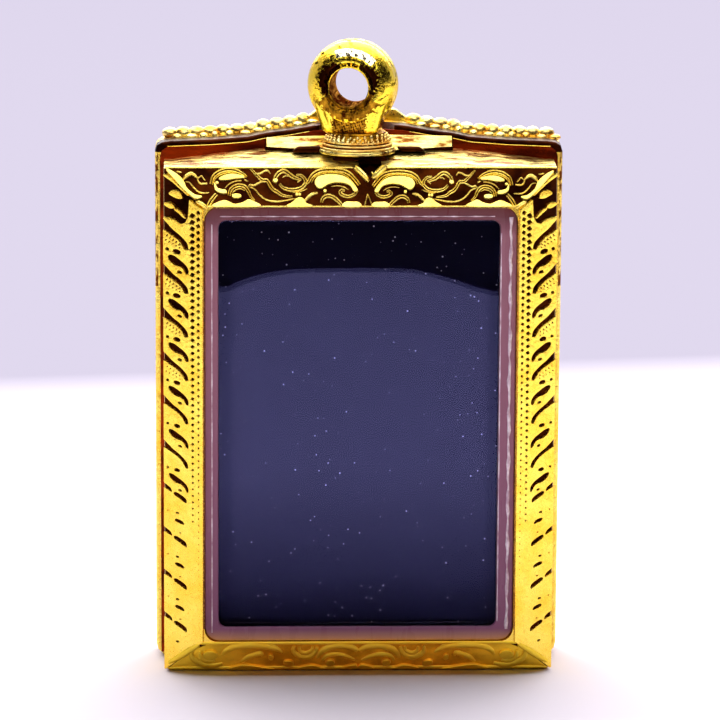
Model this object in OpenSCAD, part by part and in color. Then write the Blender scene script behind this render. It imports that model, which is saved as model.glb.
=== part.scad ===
// Gold amulet casing with a stepped top, a round eye on a beaded foot, a clear box and a dark plate.
// Millimetres. X runs across, the front looks to -Y, Z is up from the flat base.

/* [Front moulding] */
// Width of the front moulding at its outer edge
front_w = 34.4; // [28:0.1:42]
// Height of the front moulding without the stepped top
front_h = 45.5; // [38:0.1:56]
// Width of each side band from the window to the outer edge
band_side = 3.5; // [3:0.1:5]
// Height of the top band
band_top = 3.1; // [2.6:0.1:4.5]
// Height of the bottom band
band_bottom = 3.1; // [2.6:0.1:4.5]
// Depth from the seam to the edge of the window
front_depth = 6.5; // [5.5:0.1:8]
// How far the bands fall back from the window to the outer edge
band_fall = 2.0; // [1:0.1:3]
// Height of the raised ornament
relief = 0.3; // [0.15:0.05:0.5]
// Corner radius of the window
window_r = 1.3; // [0.3:0.1:3]
// Thickness of the lip that keeps the clear box in
lip = 1.2; // [0.8:0.1:2]

/* [Rear moulding] */
// Width of the rear moulding
rear_w = 36; // [29:0.1:44]
// Depth of the rear moulding from the seam to its outer edge
rear_depth = 3.2; // [2.4:0.1:5]
// Extra depth at the edge of the rear window
rear_fall = 0.8; // [0.3:0.1:1.5]
// Radius of each grain on the arched top
bead_r = 0.52; // [0.35:0.01:0.7]
// Distance from one grain to the next
bead_pitch = 1.2; // [0.9:0.05:1.6]

/* [Eye] */
// Outer radius of the eye
eye_r = 3.98; // [3:0.01:5]
// Radius of the bore of the eye
bore_r = 1.72; // [1.2:0.01:2.4]
// Depth of the eye from front to back
eye_depth = 4.2; // [3:0.1:5.5]
// Height of the centre of the eye above the base
eye_z = 52.3; // [50:0.05:62]
// Turn of the eye about the vertical, in degrees
eye_turn = -12; // [-30:1:30]
// Shift of the eye off the middle line
eye_x = -0.55; // [-1:0.05:1]
// Shift of the round foot off the middle line
foot_x = -0.2; // [-1:0.1:1]
// Radius of the round foot under the eye
foot_r = 3.1; // [2.6:0.1:4]

/* [Clear box and plate] */
// Width of the plate
plate_w = 25; // [20:0.1:30]
// Height of the plate
plate_h = 36.6; // [30:0.1:44]
// Thickness of the plate
plate_t = 5.0; // [3:0.1:6]
// Gap between pieces that touch
gap = 0.06; // [0.03:0.01:0.15]

/* [Hidden] */
$fn = 48;
seam = 0.8;
win_w = front_w - 2*band_side;
win_z0 = band_bottom;
win_z1 = front_h - band_top;
win_y = seam - front_depth;
rim_y = win_y + band_fall;
flange = 1.1;
cav_w = win_w + 2*flange;
cav_z0 = win_z0 - flange;
cav_z1 = win_z1 + flange;
tongue = 1.0;
tongue_l = 2.0;
step_z = front_h + 1.2;
eye_y = -0.3;
peg_r = 0.8;
peg_l = 1.9;
rear_y0 = seam + gap;
rear_y1 = rear_y0 + rear_depth;
rear_y2 = rear_y1 + rear_fall;
box_wall_z0 = win_z0 + 0.9;
box_wall_z1 = win_z1 - 0.9;
box_in_w = win_w - 1.6;
box_in_y0 = -3.45;
side_tilt = atan(band_fall/band_side);
side_k = 1/cos(side_tilt);
top_tilt = atan(band_fall/band_top);
top_k = 1/cos(top_tilt);
low_tilt = atan(band_fall/band_bottom);
low_k = 1/cos(low_tilt);
// The casing stands with the middle of its depth over the origin
front_y = win_y - relief*cos(top_tilt) - (0.1*top_k + 0.004)*sin(top_tilt);
shift_y = -(front_y + rear_y2)/2;

// Smooth curve through points, and ribbons and leaves drawn with it
function between(a, b, c, d, t) = 0.5*(2*b + (c - a)*t + (2*a - 5*b + 4*c - d)*t*t + (3*b - a - 3*c + d)*t*t*t);
function curve(p, n) = concat(
    [for (i = [0:len(p) - 2]) for (k = [0:n - 1])
        between(p[max(i - 1, 0)], p[i], p[i + 1], p[min(i + 2, len(p) - 1)], k/n)],
    [p[len(p) - 1]]);
function ring_of(p, n) = [for (i = [0:len(p) - 1]) for (k = [0:n - 1])
    between(p[(i + len(p) - 1) % len(p)], p[i], p[(i + 1) % len(p)], p[(i + 2) % len(p)], k/n)];
function across(q, i) = let (d = q[min(i + 1, len(q) - 1)] - q[max(i - 1, 0)]) [-d[1], d[0]]/norm(d);
function taper(t, a, b) = t < 0.3 ? a + (1 - a)*t/0.3 : t > 0.7 ? b + (1 - b)*(1 - t)/0.3 : 1;

module ribbon(p, w, a = 0.4, b = 0.4, n = 2) {
    q = curve(p, n);
    m = len(q) - 1;
    polygon(concat(
        [for (i = [0:m]) q[i] + across(q, i)*w/2*taper(i/m, a, b)],
        [for (i = [m:-1:0]) q[i] - across(q, i)*w/2*taper(i/m, a, b)]));
}

module leaf(p, n = 2) {
    polygon(ring_of(p, n));
}

module drop(x, y, w, h, turn = 0, sides = 8) {
    translate([x, y]) rotate(turn) scale([w/2, h/2]) circle(r = 1, $fn = sides);
}

// Scrolls of the left half of the top band, X across and Y up from the window
module top_scrolls() {
    leaf([[-16.9, 2.9], [-16.1, 2.5], [-15.5, 2.0], [-15.2, 1.4], [-14.5, 0.88], [-13.9, 0.76],
        [-14.4, 0.62], [-15.0, 0.98], [-15.6, 1.5], [-16.2, 2.1]]);
    ribbon([[-14.4, 0.42], [-13.9, 0.22], [-13.4, -0.12]], 0.42, 0.2, 0.5);
    ribbon([[-13.35, 0.0], [-13.05, 0.5], [-12.6, 1.0]], 0.28, 0.8, 0.8);
    ribbon([[-15.5, 2.08], [-15.25, 2.4], [-14.75, 2.55], [-14.3, 2.32]], 0.42, 0.3, 0.5);
    ribbon([[-14.3, 2.35], [-14.18, 2.0], [-13.95, 1.82], [-13.4, 1.84]], 0.17, 0.9, 0.8);
    ribbon([[-14.2, 2.25], [-13.92, 2.43], [-13.7, 2.2], [-13.55, 2.08]], 0.13, 0.9, 0.5);
    ribbon([[-15.34, 1.97], [-14.97, 1.92], [-14.62, 1.55], [-14.2, 1.2], [-13.8, 1.08], [-13.25, 1.1]], 0.15);
    ribbon([[-16.07, 2.8], [-15.6, 2.7]], 0.14);
    ribbon([[-13.06, 1.78], [-12.9, 2.34], [-12.5, 2.68], [-12.0, 2.88], [-11.4, 2.94], [-10.84, 2.84],
        [-10.3, 2.6], [-9.97, 2.34]], 0.2, 0.9, 0.6);
    ribbon([[-12.86, 1.84], [-12.7, 2.2], [-12.3, 2.5], [-11.8, 2.66], [-11.3, 2.7], [-10.8, 2.6]], 0.1, 0.9, 0.3);
    leaf([[-12.35, 2.13], [-11.94, 2.39], [-11.3, 2.5], [-10.55, 2.42], [-10.2, 2.26], [-10.9, 2.22], [-11.7, 2.1]]);
    ribbon([[-11.85, 1.47], [-11.48, 1.81], [-11.0, 2.02], [-10.43, 2.08]], 0.13);
    ribbon([[-10.2, 2.14], [-9.88, 2.03]], 0.13);
    leaf([[-12.76, 1.78], [-12.55, 1.42], [-12.2, 1.3], [-11.82, 1.24], [-11.77, 1.04], [-12.29, 1.1], [-12.68, 1.33]]);
    ribbon([[-11.5, 0.86], [-11.4, 1.29], [-11.05, 1.6], [-10.55, 1.7], [-10.1, 1.55], [-9.8, 1.18],
        [-9.6, 0.8], [-9.27, 0.5]], 0.2, 0.9, 0.4);
    ribbon([[-11.25, 0.86], [-11.15, 1.15], [-10.85, 1.36], [-10.5, 1.42], [-10.15, 1.28]], 0.12, 0.9, 0.5);
    drop(-10.85, 0.8, 0.8, 0.28);
    leaf([[-12.95, -0.02], [-12.4, 0.3], [-11.9, 0.42], [-11.5, 0.3], [-11.0, 0.12], [-10.3, 0.26],
        [-9.8, 0.48], [-9.3, 0.3], [-8.8, 0.0], [-9.8, -0.08], [-11.5, -0.08]]);
    ribbon([[-9.67, 3.05], [-9.38, 2.79], [-8.95, 2.36], [-8.6, 2.1], [-8.2, 2.06], [-7.98, 1.75], [-7.7, 1.4],
        [-7.27, 1.16], [-6.95, 0.94], [-6.5, 0.84], [-6.0, 0.82]], 0.2, 0.5, 0.4);
    ribbon([[-9.82, 1.56], [-9.7, 1.74], [-9.35, 1.68], [-8.95, 1.86], [-8.55, 2.02]], 0.18, 0.8, 0.8);
    ribbon([[-9.25, 2.65], [-8.8, 2.62], [-8.4, 2.82], [-8.1, 2.84], [-7.9, 2.6]], 0.17, 0.6, 0.8);
    ribbon([[-9.7, 1.56], [-9.24, 1.36], [-8.9, 0.98], [-8.45, 0.64], [-7.96, 0.46], [-7.38, 0.41], [-6.8, 0.46],
        [-6.0, 0.6], [-5.46, 0.66]], 0.15, 0.8, 0.5);
    ribbon([[-7.59, 1.94], [-7.44, 2.34], [-7.18, 2.65], [-6.8, 2.83], [-6.45, 2.72], [-6.0, 2.4], [-5.6, 2.23],
        [-5.2, 2.12]], 0.26, 0.9, 0.4);
    ribbon([[-7.1, 1.8], [-6.82, 1.52], [-6.34, 1.36], [-5.87, 1.33], [-5.4, 1.41], [-5.05, 1.6], [-4.82, 1.92],
        [-4.95, 2.26], [-5.25, 2.48], [-5.65, 2.5]], 0.2, 0.7, 0.5);
    ribbon([[-5.95, 1.14], [-5.4, 1.18], [-4.7, 1.42]], 0.1);
    ribbon([[-4.9, 1.75], [-4.6, 1.95], [-4.42, 2.25], [-4.15, 2.54], [-3.72, 2.78], [-3.14, 2.9], [-2.26, 2.92],
        [-1.51, 2.83], [-0.98, 2.6], [-0.52, 2.18], [-0.2, 1.8]], 0.22, 0.5, 0.8);
    ribbon([[-4.3, 1.9], [-4.1, 2.25], [-3.7, 2.52], [-3.1, 2.66], [-2.4, 2.69], [-1.7, 2.62], [-1.2, 2.38],
        [-0.78, 2.0], [-0.45, 1.6]], 0.09, 0.8, 0.8);
    leaf([[-4.0, 1.9], [-3.75, 2.26], [-3.2, 2.42], [-2.5, 2.47], [-1.7, 2.38], [-1.1, 2.1], [-0.65, 1.68],
        [-0.32, 1.26], [-0.62, 1.2], [-0.9, 1.6], [-1.4, 1.84], [-2.1, 1.9], [-2.75, 1.8], [-3.2, 1.58],
        [-3.55, 1.42], [-3.88, 1.58]]);
    ribbon([[-0.4, 1.3], [-0.55, 1.02], [-0.87, 0.86], [-1.22, 0.82], [-1.6, 0.92], [-1.85, 1.12], [-1.65, 1.32],
        [-1.42, 1.25]], 0.2, 0.9, 0.5);
    ribbon([[-2.6, 1.6], [-2.05, 1.66], [-1.5, 1.56], [-1.1, 1.34]], 0.1);
    ribbon([[-5.0, 0.4], [-4.6, 0.76], [-4.24, 1.0], [-3.78, 1.1]], 0.3, 0.8, 0.5);
    leaf([[-6.45, -0.04], [-6.0, 0.26], [-5.5, 0.62], [-5.1, 0.58], [-4.8, 0.2], [-4.3, 0.0], [-5.2, -0.08]]);
    ribbon([[-3.45, 0.33], [-3.36, 0.62], [-3.08, 0.82], [-2.75, 0.85], [-2.38, 0.72], [-2.03, 0.45], [-1.7, 0.15]],
        0.22, 0.8, 0.8);
    leaf([[-1.6, -0.05], [-1.35, 0.28], [-0.8, 0.3], [-0.25, 0.26], [-0.08, -0.05]]);
    drop(-5.6, 0.92, 0.16, 0.16);
    drop(-3.15, 1.2, 0.18, 0.16);
    ribbon([[-0.7, 3.02], [-0.35, 2.72], [0.0, 2.36]], 0.22, 0.7, 1);
    translate([-13.6, -0.05]) square([13.7, 0.17]);
    translate([-16.9, 2.98]) square([17, 0.12]);
}

// Scrolls of the left half of the bottom band, Y up from the base
module low_scrolls() {
    ribbon([[-16.6, 0.5], [-15.9, 0.75], [-15.3, 1.5], [-14.6, 2.75]], 0.5);
    ribbon([[-14.95, 2.3], [-14.75, 1.4], [-14.0, 0.75], [-13.0, 0.5], [-12.1, 0.75]], 0.26);
    ribbon([[-14.1, 2.15], [-14.02, 1.4], [-13.4, 1.0], [-12.8, 1.08]], 0.2);
    drop(-13.2, 1.8, 1.2, 0.9);
    ribbon([[-12.05, 1.75], [-11.7, 2.3], [-10.8, 2.72], [-9.4, 2.82], [-8.1, 2.66], [-7.3, 2.4], [-6.8, 2.0]], 0.3);
    ribbon([[-10.4, 0.9], [-9.9, 1.42], [-9.2, 1.76], [-8.7, 1.9], [-8.55, 1.6]], 0.25);
    drop(-7.8, 1.55, 0.4, 0.55, 20);
    ribbon([[-5.72, 2.75], [-5.8, 2.1], [-5.1, 1.5], [-4.3, 1.58], [-3.8, 2.15], [-3.72, 2.65]], 0.24);
    ribbon([[-5.28, 2.65], [-5.2, 2.15], [-4.75, 1.92], [-4.22, 2.18], [-4.1, 2.65]], 0.17);
    ribbon([[-3.65, 1.4], [-3.3, 2.05], [-2.7, 2.52], [-1.7, 2.76], [-0.7, 2.6], [-0.1, 2.2]], 0.28);
    ribbon([[-3.2, 1.1], [-2.8, 1.6], [-1.9, 1.76], [-1.0, 1.5], [-0.3, 1.1]], 0.2);
    drop(-2.5, 0.95, 0.7, 0.55);
    drop(-6.2, 0.9, 0.9, 0.5, -15);
    leaf([[-11.6, 0.2], [-11.0, 0.44], [-10.3, 0.66], [-9.4, 0.56], [-8.4, 0.3], [-7.6, 0.2], [-9.5, 0.15]]);
    leaf([[-5.4, 0.2], [-4.8, 0.5], [-4.0, 0.62], [-3.4, 0.4], [-3.0, 0.2], [-4.2, 0.15]]);
    leaf([[-1.4, 0.2], [-0.9, 0.55], [-0.1, 0.7], [0.0, 0.2]]);
    translate([-13.9, 2.98]) square([14, 0.15]);
    translate([-16.8, 0.1]) square([16.9, 0.24]);
}

// Slots of one leaf of the side bands, X out from the window and Y up
module leaf_slots(k) {
    ribbon([[3.6, 0.1], [2.9, -0.4], [2.2, -0.85], [1.6, -1.4], [1.28, -2.1]], 0.4*k, 0.8, 0.7);
    ribbon([[2.92, -2.85], [2.4, -3.3], [1.8, -3.5], [1.42, -3.85], [1.24, -4.3]], 0.46*k, 0.7, 0.5);
    drop(2.3, -2.4, 0.6*k, 0.32*k, 8);
    drop(2.15, -4.5, 0.5*k, 0.2*k, 12);
    drop(3.55, -2.2, 0.4*k, 0.3*k);
}

module side_art() {
    difference() {
        polygon([[0.02, win_z0 + 0.15], [band_side - 0.06, 0.25], [band_side - 0.06, front_h - 0.25],
            [0.02, win_z1 - 0.15]]);
        for (i = [0:9]) translate([0, front_h - 4.9 - i*(front_h - 6.2)/10]) leaf_slots(1.15 - 0.055*i);
        translate([1.9, front_h - 2.6]) leaf_slots(0.7);
        drop(2.6, front_h - 3.1, 0.9, 0.5, -25);
        drop(1.7, front_h - 4.2, 0.7, 0.4, -25);
        for (i = [0:53]) {
            drop(0.8, front_h - 4 - i*0.585, 0.44, 0.28, -12, 4);
            drop(0.4, front_h - 3.7 - i*0.585, 0.4, 0.28, 12, 4);
        }
        translate([-0.5, front_h - 3.25]) rotate(41.5) square([6, 0.2]);
        translate([-0.5, win_z0 + 0.1]) rotate(-41.5) square([6, 0.2]);
    }
}

module raise_side() {
    multmatrix([[cos(side_tilt), 0, sin(side_tilt), win_w/2],
        [sin(side_tilt), 0, -cos(side_tilt), win_y],
        [0, 1, 0, 0], [0, 0, 0, 1]])
        translate([0, 0, -0.12]) linear_extrude(relief + 0.12) offset(delta = 0.004) scale([side_k, 1]) side_art();
}

module raise_top() {
    multmatrix([[1, 0, 0, 0], [0, sin(top_tilt), -cos(top_tilt), win_y],
        [0, cos(top_tilt), sin(top_tilt), win_z1], [0, 0, 0, 1]])
        translate([0, 0, -0.12]) linear_extrude(relief + 0.12) offset(delta = 0.004) scale([1, top_k])
            intersection() {
                union() {
                    top_scrolls();
                    mirror([1, 0]) top_scrolls();
                }
                polygon([[-win_w/2 - 0.05, -0.1], [win_w/2 + 0.05, -0.1], [front_w/2 - 0.05, band_top],
                    [-front_w/2 + 0.05, band_top]]);
            }
}

module raise_low() {
    multmatrix([[1, 0, 0, 0], [0, -sin(low_tilt), -cos(low_tilt), rim_y],
        [0, cos(low_tilt), -sin(low_tilt), 0], [0, 0, 0, 1]])
        translate([0, 0, -0.12]) linear_extrude(relief + 0.12) offset(delta = 0.004) scale([1, low_k])
            intersection() {
                union() {
                    low_scrolls();
                    mirror([1, 0]) low_scrolls();
                }
                polygon([[-front_w/2 + 0.3, 0.22], [front_w/2 - 0.3, 0.22], [win_w/2 + 0.05, band_bottom + 0.1],
                    [-win_w/2 - 0.05, band_bottom + 0.1]]);
            }
}

// Upright slab between two depths, drawn as a face in X and Z
module slab(y0, y1) {
    translate([0, y1, 0]) rotate([90, 0, 0]) linear_extrude(y1 - y0) children();
}

// Bar that runs across, drawn as a section in Y and Z
module across_x(w) {
    translate([-w/2, 0, 0]) rotate([90, 0, 90]) linear_extrude(w) children();
}

// Rectangle in X and Z with round corners
module pane(w, z0, z1, r) {
    translate([0, (z0 + z1)/2]) {
        square([w - 2*r, z1 - z0], center = true);
        square([w, z1 - z0 - 2*r], center = true);
        for (sx = [-1, 1]) for (sz = [-1, 1]) translate([sx*(w/2 - r), sz*((z1 - z0)/2 - r)]) circle(r = r);
    }
}

module front_body() {
    intersection() {
        linear_extrude(front_h) polygon([[-front_w/2, seam], [-front_w/2, rim_y], [-win_w/2, win_y],
            [win_w/2, win_y], [front_w/2, rim_y], [front_w/2, seam]]);
        across_x(front_w + 2) polygon([[seam, 0], [rim_y, 0], [win_y, win_z0], [win_y, win_z1],
            [rim_y, front_h], [seam, front_h]]);
    }
    slab(rim_y + 0.7, seam) polygon([[-15.6, front_h - 0.4], [15.6, front_h - 0.4], [15.6, front_h + 0.05],
        [12.2, front_h + 0.3], [9.2, front_h + 0.6], [5, front_h + 0.85], [-5, front_h + 0.85],
        [-9.2, front_h + 0.6], [-12.2, front_h + 0.3], [-15.6, front_h + 0.05]]);
    translate([-8.15, -1.4, front_h - 0.2]) cube([16.3, seam + 1.4, step_z - front_h + 0.2]);
    translate([foot_x, eye_y, front_h - 0.2]) intersection() {
        cylinder(r = foot_r + 0.25, h = step_z - front_h + 0.2);
        translate([-5, -5, 0]) cube([10, 5 + seam - eye_y, 5]);
    }
}

module front_frame() {
    color([0.9, 0.72, 0.2]) union() {
        difference() {
            front_body();
            slab(win_y - 1, seam + 1) pane(win_w, win_z0, win_z1, window_r);
            slab(win_y + lip, seam + 1) pane(cav_w, cav_z0, cav_z1, window_r);
            slab(seam - tongue_l - gap, seam + 1)
                pane(cav_w + 2*tongue + 2*gap, cav_z0 - tongue - gap, cav_z1 + tongue + gap, window_r);
            translate([foot_x, eye_y, step_z - peg_l - 0.1]) cylinder(r = peg_r + gap, h = 4);
            translate([0, rim_y + 0.6, front_h - 0.75]) rotate([90, 0, 0])
                linear_extrude(3) polygon([[0, 0], [1.5, 2.4], [-1.5, 2.4]]);
        }
        raise_top();
        raise_low();
        raise_side();
        mirror([1, 0, 0]) raise_side();
    }
}

function rear_face() = let (h = rear_w/2) [
    [-h + 1.2, 0], [h - 1.2, 0], [h - 0.6, 0.16], [h - 0.16, 0.6], [h, 1.2],
    [h, front_h + 0.6], [h - 0.16, front_h + 1.15], [h - 0.6, front_h + 1.45], [h - 1.3, front_h + 1.55],
    [13, front_h + 1.7], [9.8, front_h + 1.95], [8.2, front_h + 2.3], [6.2, front_h + 2.55],
    [4, front_h + 2.95], [0, front_h + 3.15], [-4, front_h + 2.95], [-6.2, front_h + 2.55],
    [-8.2, front_h + 2.3], [-9.8, front_h + 1.95], [-13, front_h + 1.7], [-h + 1.3, front_h + 1.55],
    [-h + 0.6, front_h + 1.45], [-h + 0.16, front_h + 1.15], [-h, front_h + 0.6],
    [-h, 1.2], [-h + 0.16, 0.6], [-h + 0.6, 0.16]];

function arch_z(x) = let (a = abs(x)) front_h + lookup(a, [[0, 3.15], [4, 2.95], [6.2, 2.55], [8.2, 2.3],
    [9.8, 1.95], [13, 1.7], [16.7, 1.55]]);

module rear_frame() {
    color([0.88, 0.68, 0.17]) difference() {
        union() {
            intersection() {
                slab(rear_y0, rear_y2) polygon(rear_face());
                linear_extrude(front_h + 6) polygon([[-rear_w/2 + 0.35, rear_y0], [rear_w/2 - 0.35, rear_y0],
                    [rear_w/2, rear_y0 + 0.35], [rear_w/2, rear_y1], [win_w/2, rear_y2],
                    [-win_w/2, rear_y2], [-rear_w/2, rear_y1], [-rear_w/2, rear_y0 + 0.35]]);
                across_x(rear_w + 2) polygon([[rear_y0, 0.35], [rear_y0 + 0.35, 0], [rear_y1, 0],
                    [rear_y2, win_z0], [rear_y2, win_z1], [rear_y1, win_z1 + band_top],
                    [rear_y1, front_h + 4], [rear_y0, front_h + 4]]);
            }
            slab(seam - tongue_l, rear_y0 + 0.5)
                pane(cav_w + 2*tongue, cav_z0 - tongue, cav_z1 + tongue, window_r);
            for (i = [-13:13]) translate([i*bead_pitch + (i < 0 ? -0.2 : 0.2)*(abs(i) > 0 ? 1 : 0),
                rear_y1 - 0.75, arch_z(i*bead_pitch) + 0.28]) sphere(r = bead_r, $fn = 16);
            slab(rear_y1 - 0.8, rear_y1 - 0.05) polygon([[-4.7, front_h + 2.7], [4.4, front_h + 2.7],
                [3.2, front_h + 4.05], [-3.5, front_h + 4.05]]);
        }
        slab(rear_y2 - 3, rear_y2 + 1) pane(win_w, win_z0, win_z1, window_r);
        slab(seam - tongue_l - 1, rear_y2 - lip) pane(cav_w, cav_z0, cav_z1, window_r);
        translate([foot_x, eye_y, step_z - 0.4]) cylinder(r = foot_r + 0.45, h = 4.6);
    }
}

module eye_section() {
    h = eye_depth/2;
    polygon([[bore_r, -h + 0.9], [bore_r + 0.12, -h + 0.55], [bore_r + 0.4, -h + 0.2], [bore_r + 0.75, -h],
        [eye_r - 1.15, -h], [eye_r - 0.6, -h + 0.16], [eye_r - 0.2, -h + 0.55], [eye_r, -h + 1.15],
        [eye_r, h - 1.15], [eye_r - 0.2, h - 0.55], [eye_r - 0.6, h - 0.16], [eye_r - 1.15, h],
        [bore_r + 0.75, h], [bore_r + 0.4, h - 0.2], [bore_r + 0.12, h - 0.55], [bore_r, h - 0.9]]);
}

module bail() {
    neck_z = step_z + 1.35 - eye_z;
    color([0.95, 0.78, 0.24]) translate([foot_x, eye_y, 0]) {
        translate([eye_x - foot_x, 0, eye_z]) rotate([0, 0, eye_turn]) difference() {
            union() {
                rotate([90, 0, 0]) rotate_extrude() eye_section();
                intersection() {
                    slab(-3, 3) polygon([[-2.3, neck_z], [2.3, neck_z], [3.55, -1.75], [2.4, -1.3],
                        [-2.4, -1.3], [-3.55, -1.75]]);
                    across_x(9) polygon([[-1.75, neck_z], [1.75, neck_z], [1.95, -2.6], [1.6, -1.2],
                        [-1.6, -1.2], [-1.95, -2.6]]);
                }
            }
            translate([0, 4, 0]) rotate([90, 0, 0]) cylinder(r = bore_r, h = 8);
        }
        translate([0, 0, step_z + gap]) rotate_extrude() polygon([[0, 0], [foot_r - 0.12, 0], [foot_r, 0.1],
            [foot_r, 0.22], [foot_r - 0.15, 0.28], [foot_r - 0.15, 0.34], [foot_r - 0.03, 0.42],
            [foot_r - 0.1, 0.6], [2.6, 0.75], [2.5, 1.15], [2.74, 1.25], [2.74, 1.42], [2.5, 1.5], [0, 1.5]]);
        for (i = [0:21]) rotate([0, 0, i*360/22]) translate([2.68, 0, step_z + gap + 0.86])
            sphere(r = 0.3, $fn = 14);
        translate([0, 0, step_z - peg_l]) cylinder(r = peg_r, h = peg_l + 0.3);
    }
}

module acrylic_front() {
    color([0.85, 0.9, 0.95, 0.35]) difference() {
        union() {
            slab(win_y + 0.15, -1) pane(win_w - 2*gap, win_z0 + gap, win_z1 - gap, window_r - gap);
            slab(win_y + lip + gap, -gap/2) pane(cav_w - 2*gap, cav_z0 + gap, cav_z1 - gap, window_r - gap);
        }
        slab(box_in_y0, 1) pane(box_in_w, box_wall_z0, box_wall_z1, 0.8);
    }
}

module acrylic_back() {
    color([0.85, 0.9, 0.95, 0.35]) difference() {
        union() {
            slab(1, rear_y2 - 0.15) pane(win_w - 2*gap, win_z0 + gap, win_z1 - gap, window_r - gap);
            slab(gap/2, rear_y2 - lip - gap) pane(cav_w - 2*gap, cav_z0 + gap, cav_z1 - gap, window_r - gap);
        }
        slab(-1, box_in_y0 + plate_t + 2*gap) pane(box_in_w, box_wall_z0, box_wall_z1, 0.8);
    }
}

module amulet_plate() {
    color([0.12, 0.12, 0.2]) translate([-(box_in_w - plate_w)/2 + gap, 0, 0])
        slab(box_in_y0 + gap, box_in_y0 + gap + plate_t)
            pane(plate_w, box_wall_z0 + gap, box_wall_z0 + gap + plate_h, 0.8);
}

translate([0, shift_y, 0]) front_frame();
translate([0, shift_y, 0]) rear_frame();
translate([0, shift_y, 0]) bail();
translate([0, shift_y, 0]) acrylic_front();
translate([0, shift_y, 0]) acrylic_back();
translate([0, shift_y, 0]) amulet_plate();
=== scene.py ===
"""Looks of the gold amulet casing: cast borders, grained top, round eye, clear box and dark plate."""

import math

import bpy
from mathutils import Matrix, Vector


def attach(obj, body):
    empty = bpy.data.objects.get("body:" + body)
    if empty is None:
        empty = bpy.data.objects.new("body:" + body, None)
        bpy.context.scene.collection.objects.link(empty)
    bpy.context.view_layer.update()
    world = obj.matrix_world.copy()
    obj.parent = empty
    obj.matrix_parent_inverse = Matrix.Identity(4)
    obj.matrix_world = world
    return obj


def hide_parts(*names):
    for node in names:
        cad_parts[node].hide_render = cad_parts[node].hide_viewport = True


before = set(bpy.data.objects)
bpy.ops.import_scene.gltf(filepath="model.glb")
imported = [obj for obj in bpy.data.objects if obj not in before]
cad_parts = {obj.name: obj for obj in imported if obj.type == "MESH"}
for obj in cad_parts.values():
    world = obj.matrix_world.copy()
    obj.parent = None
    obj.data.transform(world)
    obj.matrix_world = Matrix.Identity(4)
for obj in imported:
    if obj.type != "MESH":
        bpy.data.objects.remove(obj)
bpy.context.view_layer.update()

# Sizes in millimetres, as in the construction: X across, the front looks to -Y, Z up from the base
MM = 0.001
SHIFT = 0.579
FRONT_W = 34.4
FRONT_H = 45.5
WINDOW_W = 27.4
WINDOW_LOW = 3.1
WINDOW_TOP = 42.4
WINDOW_ROUND = 1.3
SIDE_BAND = 3.5
LONG_BAND = 3.1
FALL = 2.0
WINDOW_Y = SHIFT - 5.7
RIM_Y = WINDOW_Y + FALL
SEAM_Y = SHIFT + 0.8
NOTCH_X = 0.85
REAR_HALF = 18.0
REAR_Y = SEAM_Y + 0.06
REAR_RIM_Y = REAR_Y + 3.2
STEP_Z = 46.7
EYE_X = -0.68
EYE_Y = SHIFT - 0.3
EYE_Z = 52.3
EYE_TURN = math.radians(-12)
FOOT_X = -0.2


# Work on objects
def deselect():
    bpy.ops.object.select_all(action="DESELECT")


def pick(*things):
    deselect()
    for thing in things:
        thing.select_set(True)
    bpy.context.view_layer.objects.active = things[0]


def edit():
    bpy.ops.object.mode_set(mode="EDIT")


def leave():
    bpy.ops.object.mode_set(mode="OBJECT")


def added(primitive, **sizes):
    """New primitive, with nothing else selected."""
    deselect()
    primitive(**sizes)
    return bpy.context.active_object


def settle(thing):
    """Put a piece's place, turn and size into its mesh."""
    pick(thing)
    bpy.ops.object.transform_apply(location=True, rotation=True, scale=True)


def to_metres(thing):
    """Pieces are shaped with one unit to the millimetre and shrunk at the end."""
    settle(thing)
    thing.scale = (MM, MM, MM)
    settle(thing)
    return thing


def modify(thing, kind, **settings):
    """Add one modifier and apply it."""
    pick(thing)
    modifier = thing.modifiers.new(kind.lower(), kind)
    for name, value in settings.items():
        setattr(modifier, name, value)
    bpy.ops.object.modifier_apply(modifier=modifier.name)


def soften(thing, width, segments=2, angle=30):
    """Round the edges that are sharper than the angle."""
    modify(thing, "BEVEL", width=width, segments=segments, limit_method="ANGLE",
           angle_limit=math.radians(angle))


def smooth(thing, angle=40):
    """Round where it is round, with flat faces kept flat."""
    pick(thing)
    bpy.ops.object.shade_smooth_by_angle(angle=math.radians(angle))
    modify(thing, "WEIGHTED_NORMAL", keep_sharp=True)


def clean(thing, gap=0.0005):
    """Merge corners that lie together and turn the faces outwards."""
    pick(thing)
    edit()
    bpy.ops.mesh.select_all(action="SELECT")
    bpy.ops.mesh.remove_doubles(threshold=gap)
    bpy.ops.mesh.normals_make_consistent(inside=False)
    leave()


def joined(name, things):
    pick(*things)
    if len(things) > 1:
        bpy.ops.object.join()
    thing = bpy.context.active_object
    thing.name = name
    thing.data.name = name
    return thing


def copy_of(thing, size=(1, 1, 1), place=(0, 0, 0), turn=(0, 0, 0)):
    """A copy with its own mesh, at its own size, place and turn."""
    pick(thing)
    bpy.ops.object.duplicate(linked=False)
    other = bpy.context.active_object
    other.scale = size
    other.location = place
    other.rotation_euler = turn
    settle(other)
    return other


def mirrored(thing):
    """The same piece on the other side of the middle line, with its faces turned out again."""
    other = copy_of(thing, (-1, 1, 1))
    clean(other)
    return other


def choose(thing, kind, test):
    """Edit mode with only those corners, edges or faces selected that pass the test."""
    leave()
    pick(thing)
    edit()
    bpy.ops.mesh.select_mode(type=kind)
    bpy.ops.mesh.select_all(action="DESELECT")
    leave()
    mesh = thing.data
    if kind == "VERT":
        for vertex in mesh.vertices:
            vertex.select = bool(test(vertex.co))
    elif kind == "EDGE":
        for edge in mesh.edges:
            a, b = (mesh.vertices[i].co for i in edge.vertices)
            edge.select = bool(test(a, b))
    else:
        for face in mesh.polygons:
            face.select = bool(test(face.center, face.normal))
    edit()


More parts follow.
